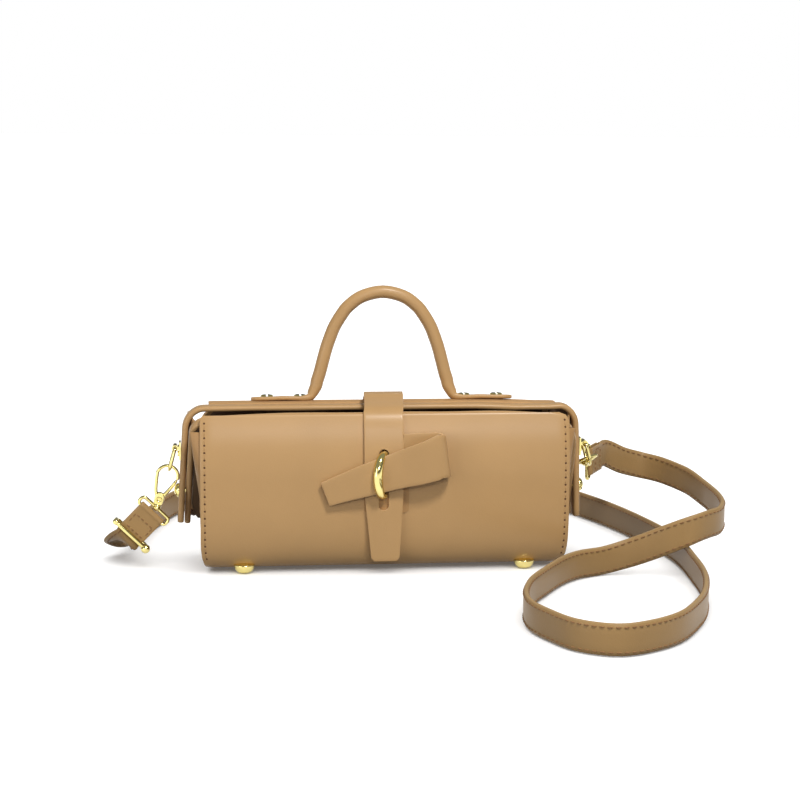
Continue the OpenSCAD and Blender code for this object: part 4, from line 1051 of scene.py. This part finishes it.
def domed_feet():
    """Four domed feet, each turned from one profile with a post, and the steel washers inside above them."""
    half_x, half_y, washer_r, washer_t = 83.4, 24.5, 2.1, 0.8
    profile = smooth_line([[1.2, 0.02], [2.4, 0.16], [3.7, 0.6], [4.8, 1.4], [5.5, 2.4], [6.0, 3.6], [6.2, 4.7],
                           [6.1, 5.3], [5.5, 5.7], [4.2, 5.95], [3.0, 6.1]], 2)
    profile = np.vstack([[0.3, 0.0], profile, [1.5, 6.3], [1.4, 7.0], [1.4, 8.7], [0.4, 8.7]])
    washer_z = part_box("foot_washers")[0][2] / MM
    places = [(x, y) for x in (-half_x, half_x) for y in (-half_y, half_y)]
    feet = [lathe(profile, (x, y, 0), (0, 0, 1), 36) for x, y in places]
    washers = [pin((x, y, washer_z), (0, 0, 1), washer_r, washer_t, 20) for x, y in places]
    gilded("feet", "bag", *feet)
    ride(make("foot_washers", *together(*washers), steel, "steel"), "bag", "foot_washers")


domed_feet()


def rivets_and_screws():
    """The pivot rivets, shallow domes on a pin through both legs, and the handle's screws with slotted heads."""
    head_r, head_h, pin_r, pin_l = 4.2, 2.7, 1.5, 6.8
    a = np.radians(np.linspace(0, 88, 9))
    dome = np.vstack([[head_r * 0.96, -head_h * 0.25], grid(head_r * np.cos(a), head_h * np.sin(a))])
    slot_half, head = 0.65, circle(3.7, 36)
    head = head[np.argsort(np.arctan2(head[:, 1], head[:, 0]))]
    head[:, 0] = np.maximum(head[:, 0], slot_half)
    head = head[np.concatenate([[True], np.linalg.norm(np.diff(head, axis=0), axis=1) > 0.01])]
    rivets, screws = [], []
    for side in (-1, 1):
        out = float(leg_shift(side, PIVOT_Z))
        rivets.append(lathe(dome, (side * (120.1 + out), 0, PIVOT_Z), (side, 0, 0), 32))
        rivets.append(pin((side * (113.2 + out), 0, PIVOT_Z), (side, 0, 0), pin_r, pin_l, 24))
        for share in (0.185, 0.65):
            place = np.array([HANDLE_X + side * (HANDLE_HALF + 43 * share), HANDLE_Y, 99.0])
            screws.append(lathe([[0.3, -4.0], [1, -4.0], [1, -0.3], [4.0, -0.3], [4.2, 0.0], [4.2, 0.4], [3.9, 0.62],
                                 [0.5, 0.62]], place, (0, 0.15, 1), 32))
            stem = place + [[0, 0, height] for height in (0.5, 1.15, 1.5, 1.62)]
            screws += [sweep(stem, head * [half, 1], (0, 1, 0), scale=[1, 1, 0.93, 0.8]) for half in (-1, 1)]
    gilded("pivot_rivets", "bag", *rivets)
    gilded("handle_screws", "bag", *screws)


rivets_and_screws()


def strap_ends():
    """The strap folded round each eye's far bar: two plies that meet behind the bar, with a box of stitches."""
    half_t, bulge, box_half, box_low, box_top = FOLD_T / 2, 0.25, 6.6, 5.5, FOLD_L - 4.5
    a = np.radians(np.linspace(-90, 90, 13))
    rise = np.linspace(FOLD_Z + 0.5, FOLD_Z + FOLD_L, 14)
    outer = np.vstack([
        grid(-half_t, rise[::-1]),
        grid((half_t + bulge) * np.sin(a), FOLD_Z - (half_t + bulge) * np.cos(a)),
        grid(half_t, rise)])
    flat = grid(np.linspace(-1, 1, 11)[None, :] * BELT_W / 2, outer[:, :1], outer[:, 1:])
    low_left, low_right, top_left, top_right = ([x, z] for z in (box_low, box_top) for x in (-box_half, box_half))
    box = ((low_left, top_left), (low_right, top_right), (low_left, low_right), (top_left, top_right))
    for name, link in (("strap_end_left", LEFT_LINK), ("strap_end_right", RIGHT_LINK)):
        loop = sheet(name, on_frame(flat, link), [strap_leather, strap_edge], "leather_strap", wall=1.3, edge=0.35)
        rows = []
        for ply in (-1, 1):
            for start, end in box:
                x, z = np.linspace(start, end, 12).T
                line = on_frame(grid(x, ply * half_t, z + FOLD_Z), link)
                rows.append(stitches(*seam_points(line, np.tile(link[2] * ply, (12, 1)), 3.3, 0.4), 2.3, 0.36))
        ride(loop, "bag", name)
        ride(make(name + "_stitches", *together(*rows), thread, "leather_strap"), "bag")


strap_ends()

for finish, names in ((gold, ("lug_left", "lug_right", "gate_pin_left", "gate_pin_right")),
                      (pressed_board, ("base_board",)), (core_cord, ("handle_core",))):
    for node_name in names:
        shown = frame["nodes"][node_name]
        shown.data.materials.clear()
        shown.data.materials.append(finish)


# ---- studio

def soft_light(name, place, aim, size, power, colour=(1, 1, 1), height=None):
    """A square area light at a place, facing the aim point, or a wide low one where its height is given."""
    lamp = set_up(bpy.data.lights.new(name, "AREA"), shape="RECTANGLE", size=size, size_y=height or size,
                  energy=power, color=colour)
    back = unit(np.array(place) - np.array(aim))
    right = unit(np.cross([0.01, 0, 1], back))
    light = in_scene(name, lamp)
    light.matrix_world = placement(right, np.cross(back, right), back, place)
    return light


def pale_floor():
    """A white floor that glows faintly and throws no light back on the bag."""
    grey, side = (0.9, 0.9, 0.9), 40.0
    mesh = bpy.data.meshes.new("floor")
    mesh.from_pydata([(-side, -side, 0), (side, -side, 0), (side, side, 0), (-side, side, 0)], [], [(0, 1, 2, 3)])
    material, tree, node = shader("pale_floor", grey, 0.7)
    mottled(tree, node, grey, 0.01, 3)
    set_up(node, {"Specular IOR Level": 0, "Emission Color": (1, 1, 1, 1), "Emission Strength": 0.08})
    mesh.materials.append(material)
    floor = in_scene("floor", mesh)
    floor.visible_diffuse = False
    return floor


def room():
    """A grey room round the bag, by height: bright in a narrow band at the horizon, dim below and just above it."""
    world = bpy.data.worlds.new("studio")
    world.use_nodes = True
    tree = world.node_tree
    where = add_node(tree, "ShaderNodeTexCoord")
    split = add_node(tree, "ShaderNodeSeparateXYZ")
    span = add_node(tree, "ShaderNodeMapRange", {"From Min": -1})
    ramp = add_node(tree, "ShaderNodeValToRGB")
    stops = ((0.0, 0.08), (0.455, 0.12), (0.478, 1.0), (0.531, 1.0), (0.545, 0.08), (0.60, 0.08), (0.66, 0.3),
             (1.0, 0.3))
    for k, (position, value) in enumerate(stops):
        stop = ramp.color_ramp.elements[k] if k < 2 else ramp.color_ramp.elements.new(position)
        set_up(stop, position=position, color=(value, value, value, 1))
    connect(tree, (where, "Generated", split, "Vector"), (split, "Z", span, "Value"), (span, "Result", ramp, "Fac"),
            (ramp, "Color", tree.nodes["Background"], "Color"))
    bpy.context.scene.world = world


def studio():
    """The floor and the room, four soft lights that reach the bag alone, and a wide sun for the floor alone."""
    floor = pale_floor()
    room()
    bag_only, floor_only = bpy.data.collections.new("bag_only"), bpy.data.collections.new("floor_only")
    floor_only.objects.link(floor)
    for piece in bpy.context.scene.objects:
        if piece.type == "MESH" and piece != floor:
            bag_only.objects.link(piece)
    warm, cool = (1.0, 0.98, 0.95), (0.98, 0.98, 1.0)
    for lamp in (soft_light("key", (0.30, -0.80, 1.19), (-0.02, -0.02, 0.05), 0.24, 14.3, warm),
                 soft_light("front_window", (0.13, -1.35, 0.63), (0.0, -0.03, 0.08), 0.7, 4.3, cool, 0.16),
                 soft_light("rear_window", (0.35, 1.5, 0.75), (0.0, 0.03, 0.06), 0.6, 9.0),
                 soft_light("left_fill", (-0.60, -0.50, 0.15), (0.0, -0.03, 0.05), 0.4, 1.5, warm)):
        lamp.light_linking.receiver_collection = bag_only
        lamp.visible_glossy = lamp.name != "rear_window"
    overhead = set_up(bpy.data.lights.new("floor_light", "SUN"), energy=4.0, angle=math.radians(100))
    lamp = in_scene("floor_light", overhead)
    lamp.rotation_euler.x = math.radians(18)
    lamp.light_linking.receiver_collection = floor_only


studio()
bpy.context.scene.view_settings.view_transform = "Standard"
